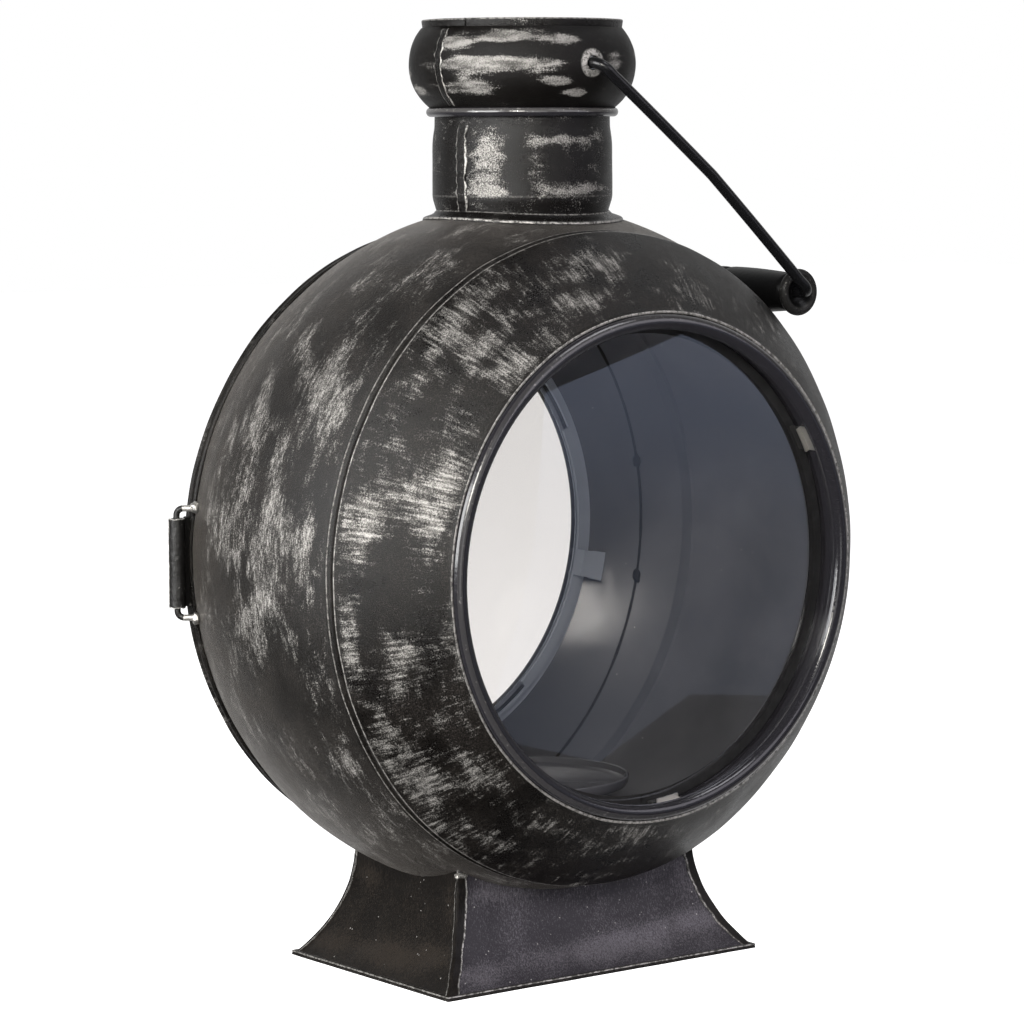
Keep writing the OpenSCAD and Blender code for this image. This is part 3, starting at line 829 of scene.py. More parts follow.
def dish_piece(name, side, seed):
    worn = 1.0 if side < 0 else 0.55
    profile = [(r, side * h, w * worn, s) for r, h, w, s in dish_rows()]
    rubs_and_highlights = DISH_RUBS_AND_HIGHLIGHT if side < 0 else turned_about(DISH_RUBS_AND_HIGHLIGHT)
    return lathe(name, profile, on_body, 480, shape=hand_made(0.3, 19.0, seed), rubs_and_highlights=rubs_and_highlights)


def bezel_piece(name, side, sleeve_end, flange):
    """The window's rolled bead and the sleeve behind it. flange is (inner radius, from, to) along the axis.

    The bead has the first material, and the sleeve, flange and web have the second.
    """
    centre_r, centre_y = bead_at
    outer_r = sleeve_r + 1.3
    bead = worn_between(arc(bead_at, bead_r, -28.0, 200.0, 30), 9, 14, 0.5, 0.0)
    bead.append(row(centre_r - bead_r + 0.1, centre_y - 1.5))
    inner_r, low, high = flange
    path = [(sleeve_r, centre_y - 1.5), (sleeve_r, high), (inner_r, high), (inner_r, low)]
    if low < sleeve_end + 0.5:
        path.append((outer_r, low))
    else:
        path += [(sleeve_r, low), (sleeve_r, sleeve_end), (outer_r, sleeve_end)]
    web_y = 91.3
    path += [(outer_r, web_y), (lip_r + 0.8, web_y), (lip_r + 0.4, web_y + 1.0)]
    profile = [(r, side * h, w, s) for r, h, w, s in bead + section(path, slot=1)]
    return lathe(name, profile, on_body)


def glass_piece(name, side, inner_y, outer_y):
    bevel = 0.35
    face_r = glass_r - bevel
    inner = [(0.01, inner_y), (glass_r * 0.5, inner_y), (face_r, inner_y), (glass_r, inner_y + bevel)]
    outer = [(glass_r, outer_y - bevel), (face_r, outer_y), (glass_r * 0.5, outer_y), (0.01, outer_y)]
    rows = section([(r, side * h) for r, h in inner + outer])
    return lathe(name, rows, on_body, 180, sharp=20.0)


front_sleeve_end = 79.5
front_flange = (sleeve_r - 4.4, front_sleeve_end, front_sleeve_end + 1.0)
rear_flange = (sleeve_r - 2.2, rear_glass_outer_y, rear_glass_outer_y + 1.0)
finish_piece(drum_piece(), "lantern", "antique_steel", [drum_skin, inside_skin], "drum_shell")
front_dish = dish_piece("front_dish_skin", -1, 4.1)
finish_piece(front_dish, "lantern", "antique_steel", [dish_skin, inside_skin], "front_dish")
rear_dish = dish_piece("rear_dish_skin", 1, 7.7)
finish_piece(rear_dish, "door", "antique_steel", [dish_skin, inside_skin], "rear_dish")
front_bezel = bezel_piece("front_bezel_roll", -1, front_sleeve_end, front_flange)
finish_piece(front_bezel, "lantern", "antique_steel", [bezel_skin, bezel_skin], "front_bezel")
rear_bezel = bezel_piece("rear_bezel_roll", 1, rear_glass_inner_y - 1.4, rear_flange)
finish_piece(rear_bezel, "door", "antique_steel", [bezel_skin, lit_frame_paint], "rear_bezel")
front_pane = glass_piece("front_window_pane", -1, glass_inner_y, glass_outer_y)
finish_piece(front_pane, "lantern", "window_glass", [glass_skin], "front_glass")
rear_pane = glass_piece("rear_window_pane", 1, rear_glass_inner_y, rear_glass_outer_y)
finish_piece(rear_pane, "door", "window_glass", [glass_skin], "rear_glass")


# ---------------------------------------------------------------- neck and crown
bulb_side_r = 24.5
bulb_at = (bulb_r - bulb_side_r, pivot_z)


def beaten_crown(amount, scale, seed):
    """A shape function that makes a surface turned about the neck's axis slightly uneven."""

    def shape(r, h, a):
        return r + amount * smooth_noise(*on_crown(r, h, a), scale, seed), h, a

    return shape


# Offset from the neck's radius, height and edge wear
NECK_LINE = [
    (-2.3, 331.0, 0.0), (-1.9, 334.4, 0.0), (-1.55, 336.2, 0.1), (-0.85, 338.6, 0.0),
    (-0.25, 340.6, 0.1), (0.0, 342.4, 0.45), (0.02, 343.4, 0.35), (0.0, 346.0, 0.1),
    (0.0, 352.0, 0.0), (0.0, 358.0, 0.0), (-0.03, 364.0, 0.0), (-0.25, 367.4, 0.12),
    (-0.6, 370.2, 0.18), (-0.9, 372.2, 0.3), (-1.0, 373.6, 0.1), (-1.0, 377.9, 0.0),
]
neck_line = [(neck_r + out, h, w) for out, h, w in NECK_LINE]


def refine(line, steps):
    """Points along a smooth curve through a line of (radius, height, wear) points."""

    def between(a, b, c, d, t):
        square = (2 * a - 5 * b + 4 * c - d) * t * t
        cube = (3 * b - a - 3 * c + d) * t**3
        return 0.5 * (2 * b + (c - a) * t + square + cube)

    out = []
    for i in range(len(line) - 1):
        near = (line[max(i - 1, 0)], line[i], line[i + 1], line[min(i + 2, len(line) - 1)])
        out += [tuple(between(*values, k / steps) for values in zip(*near)) for k in range(steps)]
    return out + [line[-1]]


def neck_piece():
    outer = [row(r, h, w) for r, h, w in refine(neck_line, 3)]
    inner = [row(r - crown_sheet, h, 0.0, 1) for r, h, _ in reversed(neck_line)]
    uneven = beaten_crown(0.2, 14.0, 2.2)
    return lathe("neck_tube_skin", outer + inner, on_crown, 240, shape=uneven, rubs_and_highlights=NECK_RUBS_AND_HIGHLIGHTS)


def seam_strip(name, line, lift, centre, span, wave, seed):
    """A narrow overlapped strip that follows a section line, with one hand-cut edge."""
    outer = [(r + lift, h) for r, h, _ in line]
    inner = [(r + lift - sheet, h) for r, h, _ in reversed(line)]
    columns = 10
    verts, wears = [], []
    for j in range(columns + 1):
        t = j / columns
        edge = 1.0 if j in (0, columns) else 0.0
        for i, (r, h) in enumerate(outer + inner):
            outside = i < len(line)
            ragged = wave * smooth_noise(h, t, 0.0, 2.6, seed) * (1.0 if t < 0.5 else 0.7)
            a = math.radians(centre + span * (t - 0.5) + ragged * (abs(t - 0.5) * 2) ** 3)
            drop = 0.45 * edge if outside else 0.0
            verts.append(on_crown(r - drop + 0.1 * smooth_noise(h, t * 9.0, seed, 3.0), h, a))
            wears.append(0.9 if j in (1, columns - 1) and outside else 0.35 * edge)
    count = 2 * len(line)
    faces = ring_faces(columns + 1, count) + end_faces(columns + 1, count)
    return make_mesh(name, verts, faces, None, wears, 50.0)


def bulb_line(steps):
    low = math.degrees(math.asin((bulb_low.z - pivot_z) / bulb_side_r))
    high = math.degrees(math.asin((bulb_high.z - pivot_z) / bulb_side_r))
    return [(r, h, 0.0) for r, h, _, _ in arc(bulb_at, bulb_side_r, low, high, steps)]


def from_hole(p):
    """How far a point is from the middle of the nearer wire hole, seen along the holes' axis."""
    near_y = 30.0
    return math.hypot(p.x, p.z - pivot_z) if abs(p.y) > near_y else math.inf


def bulb_piece():
    """The bulb, beaten slightly uneven and drawn out a little round each wire hole."""

    def shape(r, h, a):
        p = on_crown(r, h, a)
        lip = 0.5 * math.exp(-((from_hole(p) - hole_r) / 1.6) ** 2)
        return r + 0.3 * smooth_noise(*p, 12.0, 5.5) + lip, h, a

    outer = [row(r, h) for r, h, _ in bulb_line(72)]
    thin = [(r - crown_sheet * (r - bulb_at[0]) / bulb_side_r, h) for r, h, _ in reversed(bulb_line(36))]
    piece = lathe("crown_bulb_skin", outer + section(thin, slot=1), on_crown, shape=shape, rubs_and_highlights=BULB_RUBS)
    ring_r, ring_w = hole_r + 1.6, 3.2
    places = [vertex.co / MM for vertex in piece.data.vertices]
    wear = [max(0.0, 1.0 - abs(from_hole(p) - ring_r) / ring_w) for p in places]
    piece.data.attributes["wear"].data.foreach_set("value", wear)
    sides, past = 40, 80.0
    bar = []
    for y in (-past, past):
        bar += [(hole_r * math.cos(a), y, pivot_z + hole_r * math.sin(a)) for a in circle(sides)]
    return cut_away(piece, make_mesh("hole_cutter", bar, ring_faces(2, sides) + end_faces(2, sides)))


def rim_piece():
    low, high = rim_low.z, rim_high.z
    side = [(-1.5, -0.2), (-0.45, -0.2), (-0.3, 0.5, 0.15), (-0.15, 1.6, 0.1), (0.0, 2.6, 0.15)]
    top = [(0.0, -0.6, 0.5), (-0.2, -0.15, 0.6), (-0.5, 0.0, 0.3), (-1.0, 0.0, 0.1), (-1.4, -0.25, 0.1)]
    top.append((-1.5, -0.8))

    def shape(r, h, a):
        wave = 0.18 * smooth_noise(math.cos(a) * 40, math.sin(a) * 40, 0.0, 13.0, 8.1)
        return r + wave, min(h + wave, high), a

    rows = section(side, rim_r, low) + section(top, rim_r, high)
    return lathe("crown_rim_roll", rows, on_crown, 240, shape=shape)


def rim_lap():
    """The free end of the rim's strip, lapped over its start."""
    rows = section([(0.05, 0.1), (0.75, 0.25, 0.3)], rim_r, rim_low.z)
    rows += section([(0.85, -1.0, 0.2), (0.65, -0.5, 0.7), (0.05, -0.35, 0.3)], rim_r, rim_high.z)
    return lathe("crown_rim_lap", rows, on_crown, 12, span=(178.0, 199.0))


def ring_piece():
    """The swaged bead between the neck and the bulb."""
    swage_r = 2.1
    middle_r = swage_high.x - swage_r
    swage = arc((middle_r, swage_low.z + swage_r), swage_r, -110.0, 110.0, 22)
    rows = worn_between(swage, 11, 16, 0.7, 0.1)
    rows += section([(-1.2, 0.6), (-3.0, 0.4)], middle_r, bulb_low.z)
    rows += section([(-3.0, 0.2), (-1.0, 0.2)], middle_r, swage_low.z)
    return lathe("neck_bead_ring", rows, on_crown, 240, shape=beaten_crown(0.15, 14.0, 6.4))


def collar_piece():
    """The saddle collar: a flat ring that follows the drum round the neck, turned up at the neck."""
    # Radius, height over the drum and edge wear
    outer = [(44.6, -0.1, 0.2), (44.55, 0.6, 0.8), (44.1, 1.05, 0.5), (42.5, 1.15, 0.0), (40.6, 1.2, 0.0)]
    inner = [(39.6, 1.45, 0.1), (38.9, 2.1, 0.55), (38.4, 2.3, 0.5), (38.0, 2.0, 0.1), (37.9, -0.1, 0.0)]
    rings = outer + inner
    edge_r = 44.0
    steps = 180
    verts, wears = [], []
    for r, lift, wear in rings:
        for a in circle(steps):
            cut_edge = 0.35 if r > edge_r else 0.0
            wave = cut_edge * smooth_noise(math.cos(a) * edge_r, math.sin(a) * edge_r, r, 11.0, 3.3)
            x, y = (r + wave) * math.cos(a), (r + wave) * math.sin(a)
            verts.append((x, y, axis_z + math.sqrt(drum_radius(y) ** 2 - x * x) + lift))
            wears.append(wear)
    return make_mesh("neck_collar_saddle", verts, ring_faces(len(rings), steps, True), None, wears)


finish_piece(neck_piece(), "lantern", "antique_steel", [neck_skin, inside_skin], "neck_tube")
finish_piece(collar_piece(), "lantern", "antique_steel", [plain_skin], "neck_collar")
neck_seam = seam_strip("neck_lap_seam", refine(neck_line[1:-1], 6), 0.55, 190.5, 8.5, 3.6, 2.0)
finish_piece(neck_seam, "lantern", "worn_steel", [neck_skin], "neck_seam")
finish_piece(ring_piece(), "lantern", "antique_steel", [bezel_skin], "neck_bead")
finish_piece(bulb_piece(), "lantern", "antique_steel", [bulb_skin, inside_skin], "crown_bulb")
bulb_seam = seam_strip("bulb_lap_seam", bulb_line(72)[2:-2], 0.45, 186.0, 5.0, 2.2, 4.0)
finish_piece(bulb_seam, "lantern", "antique_steel", [plain_skin])
finish_piece(rim_piece(), "lantern", "antique_steel", [plain_skin], "crown_rim")
finish_piece(rim_lap(), "lantern", "antique_steel", [plain_skin])


# ---------------------------------------------------------------- foot
foot_flare = 21.0
flare_z = 52.0
foot_top_x = foot_high.x - 0.4 - foot_flare
foot_top_y = foot_high.y - 0.4 - foot_flare
flare_r = (flare_z**2 + foot_flare**2) / (2 * foot_flare)
hem_lap = 0.6
# The foot's rubbed places and painted highlight bands, low across the walls and near their tops: share of the
# half width, height, half sizes, strength
FOOT_RUBS_AND_HIGHLIGHTS = [
    (0.1, 10, 0.5, 5, 1.0), (0.75, 15, 0.3, 4, 0.8), (-0.65, 39, 0.25, 4, 0.6),
    (-0.8, 8, 0.2, 4, 0.7), (0.9, 34, 0.12, 10, 0.5),
]


def flare(z):
    """How far a wall of the foot stands out at a height."""
    return flare_r - math.sqrt(flare_r**2 - (flare_z - z) ** 2)


def meets_drum(wall, u):
    """The height at which a line up the wall reaches the drum."""
    z = 40.0
    for _ in range(14):
        x, y = wall(u, z)
        z = axis_z - math.sqrt(max(drum_radius(min(abs(y), seam_y)) ** 2 - x * x, 0.0))
    return z


def front_wall(u, z):
    return u * (foot_top_x + flare(z)), -(foot_top_y + flare(z))


def left_wall(u, z):
    return -(foot_top_x + flare(z)), -u * (foot_top_y + flare(z))


def foot_rub_and_highlight(u, z):
    total = 0.0
    for middle_u, middle_z, half_u, half_z, strength in FOOT_RUBS_AND_HIGHLIGHTS:
        d = ((u - middle_u) / half_u) ** 2 + ((z - middle_z) / half_z) ** 2
        total += strength / (1 + d**2)
    return total


def foot_panel(name, wall, opposite, seed, columns):
    """One wall of the foot, with soft dents. opposite turns it half round to the facing side."""
    rows_n = 44
    turn = -1 if opposite else 1
    grid = []
    for i in range(columns + 1):
        u = -1 + 2 * i / columns
        corner_wear = (abs(u) - 0.985) / 0.015 * 0.8 if abs(u) > 0.985 else 0.0
        top = meets_drum(wall, u) + 0.5
        line = []
        for j in range(rows_n + 1):
            v = j / rows_n
            z = foot_high.z - hem_lap + v * (top - foot_high.z + hem_lap)
            x, y = wall(u, z)
            quiet = min(1.0, 6 * min(v, 1 - v)) * min(1.0, 8 * (1 - abs(u)))
            dent = 0.75 * smooth_noise(x, y, z, 17.0, seed) * quiet
            if wall is front_wall:
                y -= dent
            else:
                x -= dent
            wear = max(max(0.0, 1.0 - v * 34.0) * 0.55, corner_wear)
            line.append(((turn * x, turn * y, z), wear, foot_rub_and_highlight(u, z)))
        grid.append(line)
    return sheet_solid(name, grid, sheet)


# Places across a corner lap, from its edge on the side panel, round the corner, to its edge on the front
LAP_ACROSS = [-1.0, -0.85, -0.5, -0.12, 0.0, 0.05, 0.15, 0.3, 0.5, 0.7, 0.88, 0.97, 1.0]
LAP_WEAR = {-1.0: 0.6, -0.85: 0.9, 0.88: 0.7, 0.97: 0.95, 1.0: 0.6}


def corner_lap(name, flip_x, flip_y, seed):
    """The strip of a side panel folded round the corner onto the front, with hand-cut edges."""
    rows_n = 90
    low, high = 0.4, meets_drum(front_wall, 0.93) + 1.2
    side_width, front_width, lift = 1.6, 5.0, 0.55
    turn_x, turn_y = -1 if flip_x else 1, -1 if flip_y else 1
    grid = []
    for t in LAP_ACROSS:
        line = []
        for j in range(rows_n + 1):
            v = j / rows_n
            z = low + v * (high - low)
            corner_x, corner_y = -(foot_top_x + flare(z)), -(foot_top_y + flare(z))
            crumple = math.exp(-((1 - v) / 0.05) ** 2)
            ragged = 0.75 * smooth_noise(z, seed * 3, 0.0, 5.0, seed)
            ragged += 0.35 * smooth_noise(z, seed * 5, 0.0, 1.7, seed) + 1.2 * crumple * math.sin(z * 2.1)
            puff = lift + 0.35 * smooth_noise(z, t * 6, seed, 6.0, seed)
            puff += 0.9 * crumple * math.sin(t * 5 + z)
            tucked = puff + 0.3 if abs(t) == 1.0 else 0.0
            if t <= 0:
                x, y = corner_x - puff + tucked, corner_y - t * side_width - ragged * 0.7 * t - 0.1
            else:
                x = corner_x + t * (front_width + ragged)
                y = corner_y - puff + tucked
            line.append(((turn_x * x, turn_y * y, z), max(LAP_WEAR.get(t, 0.12), 0.95 * crumple), 0.0))
        grid.append(line)
    if flip_x != flip_y:
        grid.reverse()
    return sheet_solid(name, grid, 0.5)


def hem_piece():
    """The folded hem: a flattened roll round the bottom edge, slightly uneven."""
    # How far out from the hem's face, height and edge wear
    under = [(0.0, 0.35, 0.2), (-0.15, 0.05, 0.0), (-0.9, 0.0, 0.0), (-2.3, 0.05, 0.0), (-2.6, 0.5, 0.0)]
    top = [(-2.6, 1.7, 0.0), (-1.2, 2.15, 0.0), (-0.55, 2.25, 0.1), (-0.15, 2.05, 0.6)]
    face = [(0.0, 1.6, 0.75), (-0.2, 1.15, 0.1), (0.0, 0.75, 0.4)]
    fold = under + top + face
    wave_depth = 0.25
    off_floor = 0.01
    per_side = 48
    corners = [(-1, -1), (1, -1), (1, 1), (-1, 1)]
    verts, wears = [], []
    for a, b in zip(corners, corners[1:] + corners[:1]):
        for k in range(per_side):
            sx, sy = (a[i] + (b[i] - a[i]) * k / per_side for i in (0, 1))
            wave = wave_depth * smooth_noise(sx * 60, sy * 40, 0.0, 9.0, 2.7)
            for out, z, wear in fold:
                reach = out + wave - wave_depth
                verts.append((sx * (foot_high.x + reach), sy * (foot_high.y + reach), z + off_floor))
                wears.append(wear)
    return make_mesh("foot_hem_fold", verts, ring_faces(4 * per_side, len(fold), True), None, wears)


front_panel = foot_panel("foot_lit_skin", front_wall, False, 1.1, 72)
finish_piece(front_panel, "lantern", "foot_steel", [foot_lit_skin], "foot_front_panel")
rear_panel = foot_panel("foot_rear_skin", front_wall, True, 2.9, 72)
finish_piece(rear_panel, "lantern", "foot_steel", [foot_lit_skin], "foot_rear_panel")
left_panel = foot_panel("foot_left_skin", left_wall, False, 3.6, 48)
finish_piece(left_panel, "lantern", "foot_steel", [foot_side_skin], "foot_left_panel")
right_panel = foot_panel("foot_right_skin", left_wall, True, 5.2, 48)
finish_piece(right_panel, "lantern", "foot_steel", [foot_side_skin], "foot_right_panel")
for flip_x in (0, 1):
    for flip_y in (0, 1):
        lap = corner_lap(f"foot_lap_{flip_x}{flip_y}", flip_x, flip_y, 1.7 + flip_x * 2.3 + flip_y * 4.9)
        lap_nodes = [] if flip_x or flip_y else ["foot_corner_laps"]
        finish_piece(lap, "lantern", "worn_steel", [foot_side_skin], *lap_nodes)
finish_piece(hem_piece(), "lantern", "foot_steel", [foot_side_skin], "foot_hem")


# ---------------------------------------------------------------- bail
leg_dir = Vector((grip_at.x, 0.0, grip_at.z - pivot_z))
reach = leg_dir.length
leg_dir.normalize()
leg_up = Vector((-leg_dir.z, 0.0, leg_dir.x))
leg_y = 56.0
bend_r = 5.5
pin_end_y = 42.0
knee_rise = 3.0


def bail_point(along, y, up):
    return Vector((0, 0, pivot_z)) + leg_dir * along + leg_up * up + Vector((0, y, 0))


def bail_path():
    """The wire's centre line from one pin to the other, symmetric about the middle of the grip."""
    slope_angle = math.atan(2 * knee_rise / reach)
    out, rise = math.cos(slope_angle), math.sin(slope_angle)
    straight_y = leg_y - bend_r
    quarter = [math.pi / 2 * k / 12 for k in range(13)]
    half = [(0.0, -pin_end_y - (straight_y - pin_end_y) * k / 4, 0.0) for k in range(5)]
    for a in quarter[1:]:
        run = bend_r * (1 - math.cos(a))
        half.append((run * out, -straight_y - bend_r * math.sin(a), run * rise))
    for k in range(1, 40):
        t = k / 40
        # The leg is bent at its middle, a little rounder than a sharp knee
        knee = 1 - abs(2 * t - 1)
        rounded = 1 - (2 * t - 1) ** 2
        up = knee_rise * (0.7 * knee + 0.3 * rounded) + 0.2 * knee
        half.append((bend_r + (reach - 2 * bend_r) * t, -leg_y, up))
    for a in quarter:
        run = bend_r * (1 - math.sin(a))
        half.append((reach - run * out, -leg_y + bend_r * (1 - math.cos(a)), run * rise))
    half += [(reach, -straight_y + straight_y * k / 6, 0.0) for k in range(1, 6)]
    other = [(along, -y, up) for along, y, up in reversed(half)]
    return [bail_point(*p) for p in half + [(reach, 0.0, 0.0)] + other]


def grip_piece():
    """The turned grip: a swollen barrel with a groove at its middle, necks, and dished end collars."""
    neck, crown = 8.6, 10.45
    groove_end = 2.3
    barrel = grip_half - 7.6 - groove_end
    bore_r = wire_r + 0.15
    rows = section([(-1.3, 0.0), (-1.25, 1.1), (-0.5, 1.7, 0.2), (-0.1, groove_end, 0.5)], crown)
    for k in range(1, 23):
        y = groove_end + barrel * k / 22
        t = (y - groove_end) / barrel
        rows.append(row(neck + (crown - neck) * (1 - t * t), y))
    waist = [(neck - 0.5, -6.9), (neck - 0.7, -6.3), (neck - 0.2, -5.5, 0.1), (9.7, -4.6, 0.2)]
    rows += section(waist, 0.0, grip_half)
    rows += arc((grip_r - 2.3, grip_half - 2.5), 2.3, -35.0, 100.0, 14, 0.45)
    rows += section([(7.2, -0.9, 0.5), (5.6, -2.6, 0.2), (4.4, -3.8), (bore_r, -4.2)], 0.0, grip_half)
    profile = flipped(rows[1:]) + rows + [row(bore_r, 0.0)]
    return lathe("bail_grip_turned", profile, on_grip, 96, sharp=50.0)


wire_points = bail_path()
wire = tube("bail_wire_bent", wire_points, [wire_r] * len(wire_points), 28)
finish_piece(wire, "bail", "black_wire", [wire_skin], "bail_wire")
finish_piece(grip_piece(), "grip", "grip_black", [grip_skin], "bail_grip")


# ---------------------------------------------------------------- hinge
pin_r = 1.4
staple_half = (staple_high.z - staple_low.z) / 2
pin_half = staple_half - pin_r
staple_dir = Vector((math.cos(math.radians(-42)), math.sin(math.radians(-42)), 0.0))


def staple_point(out, up):
    """A point of the staple: how far from the pin's axis towards the drum, and how far up."""
    return hinge_at + staple_dir * out + Vector((0, 0, up))


def staple_piece():
    """The wire staple that is the hinge pin, with its ends splayed flat on the drum."""
    bend = 3.0
    end = [staple_point(8.6, pin_half + 0.4)] + [staple_point(out, pin_half) for out in (7.2, 5.6, 4.2)]
    for k in range(9):
        a = math.pi / 2 * k / 8
        end.append(staple_point(bend * (1 - math.sin(a)), pin_half - bend * (1 - math.cos(a))))
    lower = [Vector((p.x, p.y, 2 * hinge_at.z - p.z)) for p in reversed(end)]
    middle = [staple_point(0.0, (pin_half - bend) * t) for t in (0.6, 0.2, -0.2, -0.6)]
    points = end + middle + lower
    count = len(points)
    wear = [0.8 if min(i, count - 1 - i) < 5 else 0.2 for i in range(count)]
    return tube("hinge_staple_wire", points, [pin_r] * count, 20, wear)


def splay(name, side, seed):
    """A flattened, torn end of the staple, soldered to the drum."""
    at = staple_point(8.2, side * (pin_half + 0.4))
    return blob(name, at, (2.1, 2.1, 2.6), seed, 14, 4, 0.35, 60.0, True)


def barrel_piece():
    """The leaf's rolled barrel: a spiral of sheet, pitted, with an open seam."""
    half = (leaf_high.z - leaf_low.z) / 2
    rows_n, steps = 60, 40
    barrel_r = 2.75
    grid = []
    for k in range(steps + 1):
        a = math.radians(150.0 - 345.0 * k / steps)
        line = []
        for j in range(rows_n + 1):
            at_end = j in (0, rows_n)
            z = -half + 2 * half * j / rows_n
            r = barrel_r + 0.16 * smooth_noise(math.cos(a) * 6, math.sin(a) * 6, z, 1.6, 4.4)
            r += 0.1 * smooth_noise(math.cos(a) * 3, math.sin(a) * 3, z, 6.0, 1.4)
            end_wave = 0.5 * smooth_noise(a * 4, 0.0, 1.0 if z > 0 else -1.0, 2.0, 3.0) if at_end else 0.0
            point = hinge_at + Vector((r * math.cos(a), r * math.sin(a), z + end_wave))
            line.append((point, 0.8 if at_end or k in (0, steps) else 0.15, 0.0))
        grid.append(line)
    return sheet_solid("hinge_barrel_rolled", grid, 0.9, 50.0)


finish_piece(staple_piece(), "lantern", "worn_steel", [worn_skin], "hinge_staple")
finish_piece(splay("hinge_splay_upper", 1, 1.0), "lantern", "worn_steel", [bright_skin])
finish_piece(splay("hinge_splay_lower", -1, 6.0), "lantern", "worn_steel", [bright_skin])
finish_piece(barrel_piece(), "door", "worn_steel", [worn_skin])


# ---------------------------------------------------------------- inside the body
def inner_radius(y):
    """The radius of the dish's inner face at a distance along the axis."""
    return dish_arc_at.x + math.sqrt((dish_arc_r - sheet / 2) ** 2 - (y - dish_arc_at.y) ** 2)


def dark_inner_line():
    """A dark matt line across the inside of the door's dish, bowed towards the window at its middle."""
    half_span = math.radians(75.0)
    steps = 60
    end_y, bow = 66.0, 8.5
    points, radii = [], []
    for k in range(steps + 1):
        a = half_span * (2 * k / steps - 1)
        y = end_y + bow * (1 - (a / half_span) ** 2)
        points.append(on_body(inner_radius(y) + 0.15, y, a))
        radii.append(0.75 + 0.25 * smooth_noise(a * 60, 0.0, 0.0, 2.0, 3.0))
    return tube("door_dark_line", points, radii, 10)


def dark_inner_lump(index, height):
    """A dark matt lump on that line, at a height over the body's axis."""
    y, line_r = 74.0, 131.0
    at = on_body(inner_radius(y) - 0.5, y, math.asin(height / line_r))
    return blob(f"door_dark_lump_{index}", at, (1.6, 2.6, 3.4), 2.0 + index, 18, 3, 0.25, 40.0, False)


def plate_piece():
    """The candle plate: a shallow pressed dish with a rolled rim."""
    radius = (plate_high.x - plate_low.x) / 2
    under = [(0.01, 0.0), (radius - 3.0, 0.0), (radius - 1.2, 0.5), (radius - 0.3, 1.9)]
    rows = section(under, 0.0, plate_low.z)
    rows += section([(0.0, -0.5, 0.4), (-0.5, 0.0, 0.7), (-1.1, -0.4, 0.4)], radius, plate_high.z)
    rows += section([(radius - 1.5, 2.4), (radius - 3.2, 1.2), (0.01, 1.2)], 0.0, plate_low.z)
    return lathe("candle_plate_pressed", rows, on_crown, 128)


finish_piece(dark_inner_line(), "door", "antique_steel", [rubber_skin])
for index, height in enumerate((28.0, -29.0)):
    finish_piece(dark_inner_lump(index, height), "door", "antique_steel", [rubber_skin])
finish_piece(plate_piece(), "lantern", "inner_steel", [inside_skin], "candle_plate")

# ---------------------------------------------------------------- CAD pieces that keep their own shape
kept = {
    "front_gasket": rubber_skin,
    "rear_gasket": rubber_skin,
    "front_glass_clips": bright_skin,
    "rear_glass_clips": lit_frame_paint,
    "rear_glass_strips": lit_frame_paint,
    "plate_stand": inside_skin,
    "hinge_leaf": worn_skin,
    "pull_tab": worn_skin,
    "pull_tab_rivets": bright_skin,
}
for node_name, material in kept.items():
    cad = frame["nodes"][node_name]
    cad.data.materials.clear()
    cad.data.materials.append(material)


# ---------------------------------------------------------------- camera
camera_at = (-1.0258, -1.3341, 0.3746)
lens_mm = 132.4


def view_axes():
    """Forward, right and up of the view: nearly level with the crown, looking slightly down."""
    heading = math.radians(37.385)
    pitch = math.radians(5.899)
    roll = math.radians(-0.16)
    level = math.cos(pitch)
    forward = Vector((math.sin(heading) * level, math.cos(heading) * level, -math.sin(pitch)))
    right = Vector((math.cos(heading), -math.sin(heading), 0.0))
    up = right.cross(forward)
    rolled_right = right * math.cos(roll) + up * math.sin(roll)
    rolled_up = up * math.cos(roll) - right * math.sin(roll)
    return forward, rolled_right, rolled_up


def aimed_camera():
    """A long lens, so that the body looks nearly undistorted."""
    forward, right, up = view_axes()
    turn = Matrix((right, up, -forward)).transposed()
    data = bpy.data.cameras.new("view_camera")
    data.lens = lens_mm
    data.sensor_width = 36.0
    data.clip_start = 0.05
    data.clip_end = 60.0
    camera = add_object("view_camera", data)
    camera.matrix_world = Matrix.Translation(camera_at) @ turn.to_4x4()
    bpy.context.scene.camera = camera


aimed_camera()


# ---------------------------------------------------------------- studio
WHITE = (1.0, 1.0, 1.0)
lights_aim = Vector((0, 0, 0.2))


def area_light(name, azimuth, distance, height, size, power, colour=WHITE):
    """A soft box. Azimuth is measured from -Y towards -X, round the lantern."""
    a = math.radians(azimuth)
    place = Vector((-distance * math.sin(a), -distance * math.cos(a), height))
    light = bpy.data.lights.new(name, "AREA")
    light.shape = "RECTANGLE"
    light.size, light.size_y = size
    light.energy = power
    light.color = colour
    lamp = add_object(name, light)
    lamp.location = place
    lamp.rotation_euler = (lights_aim - place).to_track_quat("-Z", "Y").to_euler()


def flat_card(name, corners):
    """A flat object with one face, in metres."""
    mesh = bpy.data.meshes.new(name)
    mesh.from_pydata(corners, [], [tuple(range(len(corners)))])
    return add_object(name, mesh)


def studio_floor():
    """A pale floor that runs off into the white backdrop."""
    half = 6.0
    corners = [(-half, -half, 0), (half, -half, 0), (half, half, 0), (-half, half, 0)]
    floor = flat_card("studio_floor", corners)
    g = material_nodes("studio_floor_pale")
    seen = g.node("ShaderNodeLightPath", output="Is Camera Ray")
    bounced, direct = 0.12, 0.96
    glow = g.mix(seen, bounced, direct)
    pale = g.surface(Base_Color=(0.8, 0.8, 0.8), Roughness=0.9, Emission_Color=WHITE, Emission_Strength=glow)
    floor.data.materials.append(pale)
    floor.visible_glossy = False


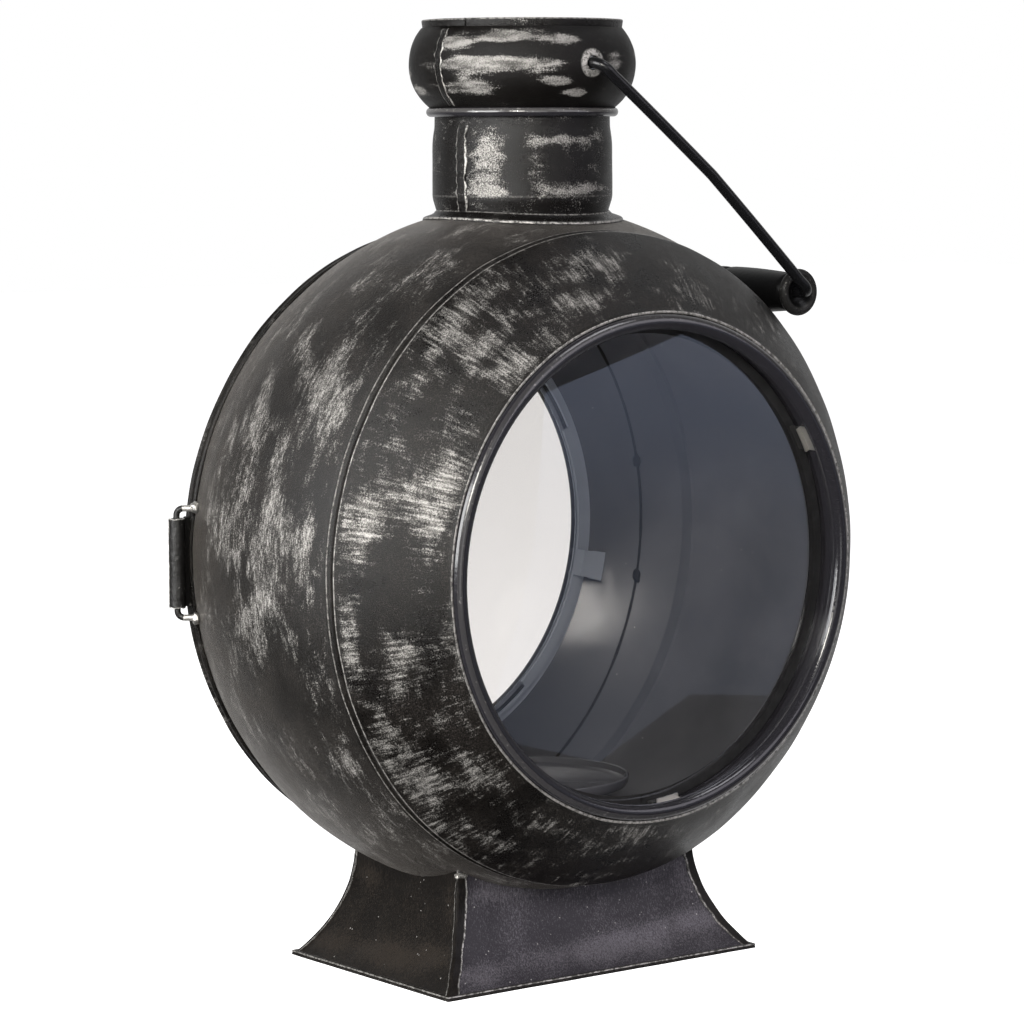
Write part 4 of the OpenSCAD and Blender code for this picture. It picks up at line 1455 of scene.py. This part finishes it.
def studio_world():
    """White to the camera; for reflections, pale behind the lantern and dark in front of it."""
    world = bpy.data.worlds.new("studio_world")
    bpy.context.scene.world = world
    g = Nodes(world, "ShaderNodeOutputWorld")
    sky = g.node("ShaderNodeTexCoord", output="Generated")
    from_view = {0: sky, 1: (0.604, 0.79, 0.0)}
    facing = g.node("ShaderNodeVectorMath", from_view, "Value", operation="DOT_PRODUCT")
    behind = g.step(facing, 0.1, 0.85, 0.02, 0.8)
    level = g.step(abs(g.split(sky)[2]), 0.12, 0.5, 0.55, 1.0)
    seen = g.node("ShaderNodeLightPath", output="Is Camera Ray")
    strength = g.mix(seen, behind * level, 1.0)
    g.show(g.node("ShaderNodeBackground", {"Color": WHITE, "Strength": strength}))


# Outline of the card that the front window mirrors, in metres across and up from its middle
VEIL_OUTLINE = [
    (-0.03, 0.122), (0.088, 0.173), (0.27, 0.25), (0.28, -0.13), (0.09, -0.128), (0.015, -0.184),
    (-0.07, -0.165), (-0.07, -0.125), (-0.052, -0.066), (-0.039, -0.003), (-0.034, 0.06),
]


def reflector_card(name, outline, colour, strength):
    """A card beside the set, square to the view that the front window mirrors.

    It only shows in reflections, and is darker towards its lower edge.
    """
    forward, right, up = (Vector((v.x, -v.y, v.z)) for v in view_axes())
    card_distance = 1.5
    middle = Vector((0.0, -glass_outer_y, axis_z)) * MM + forward * card_distance
    card = flat_card(name, [middle + right * x + up * y for x, y in outline])
    g = material_nodes(name + "_glow")
    z = g.split(g.place_mm())[2]
    middle_z = middle.z / MM
    lower_share = 0.4
    level = g.step(z, middle_z - 20.0, middle_z + 130.0, strength * lower_share, strength)
    card.data.materials.append(g.show(g.node("ShaderNodeEmission", {"Color": colour, "Strength": level})))
    card.visible_camera = False
    card.visible_diffuse = False
    card.visible_shadow = False
    card.visible_transmission = False


studio_floor()
studio_world()
area_light("left_softbox", 84.0, 1.6, 0.64, (1.2, 0.9), 38.0)
area_light("camera_left_softbox", 44.0, 1.6, 0.86, (0.45, 0.4), 17.0, (1.0, 0.97, 0.9))
area_light("front_softbox", 21.0, 1.9, 0.5, (0.8, 1.4), 5.0)
area_light("right_front_softbox", -28.0, 1.6, 0.78, (1.3, 0.9), 7.0, (0.93, 0.9, 1.0))
area_light("overhead_softbox", -30.0, 1.0, 1.9, (0.9, 0.6), 8.0, (0.95, 0.95, 1.0))
reflector_card("veil_card", VEIL_OUTLINE, (0.66, 0.75, 1.0), 0.66)
bpy.context.scene.view_settings.view_transform = "Standard"
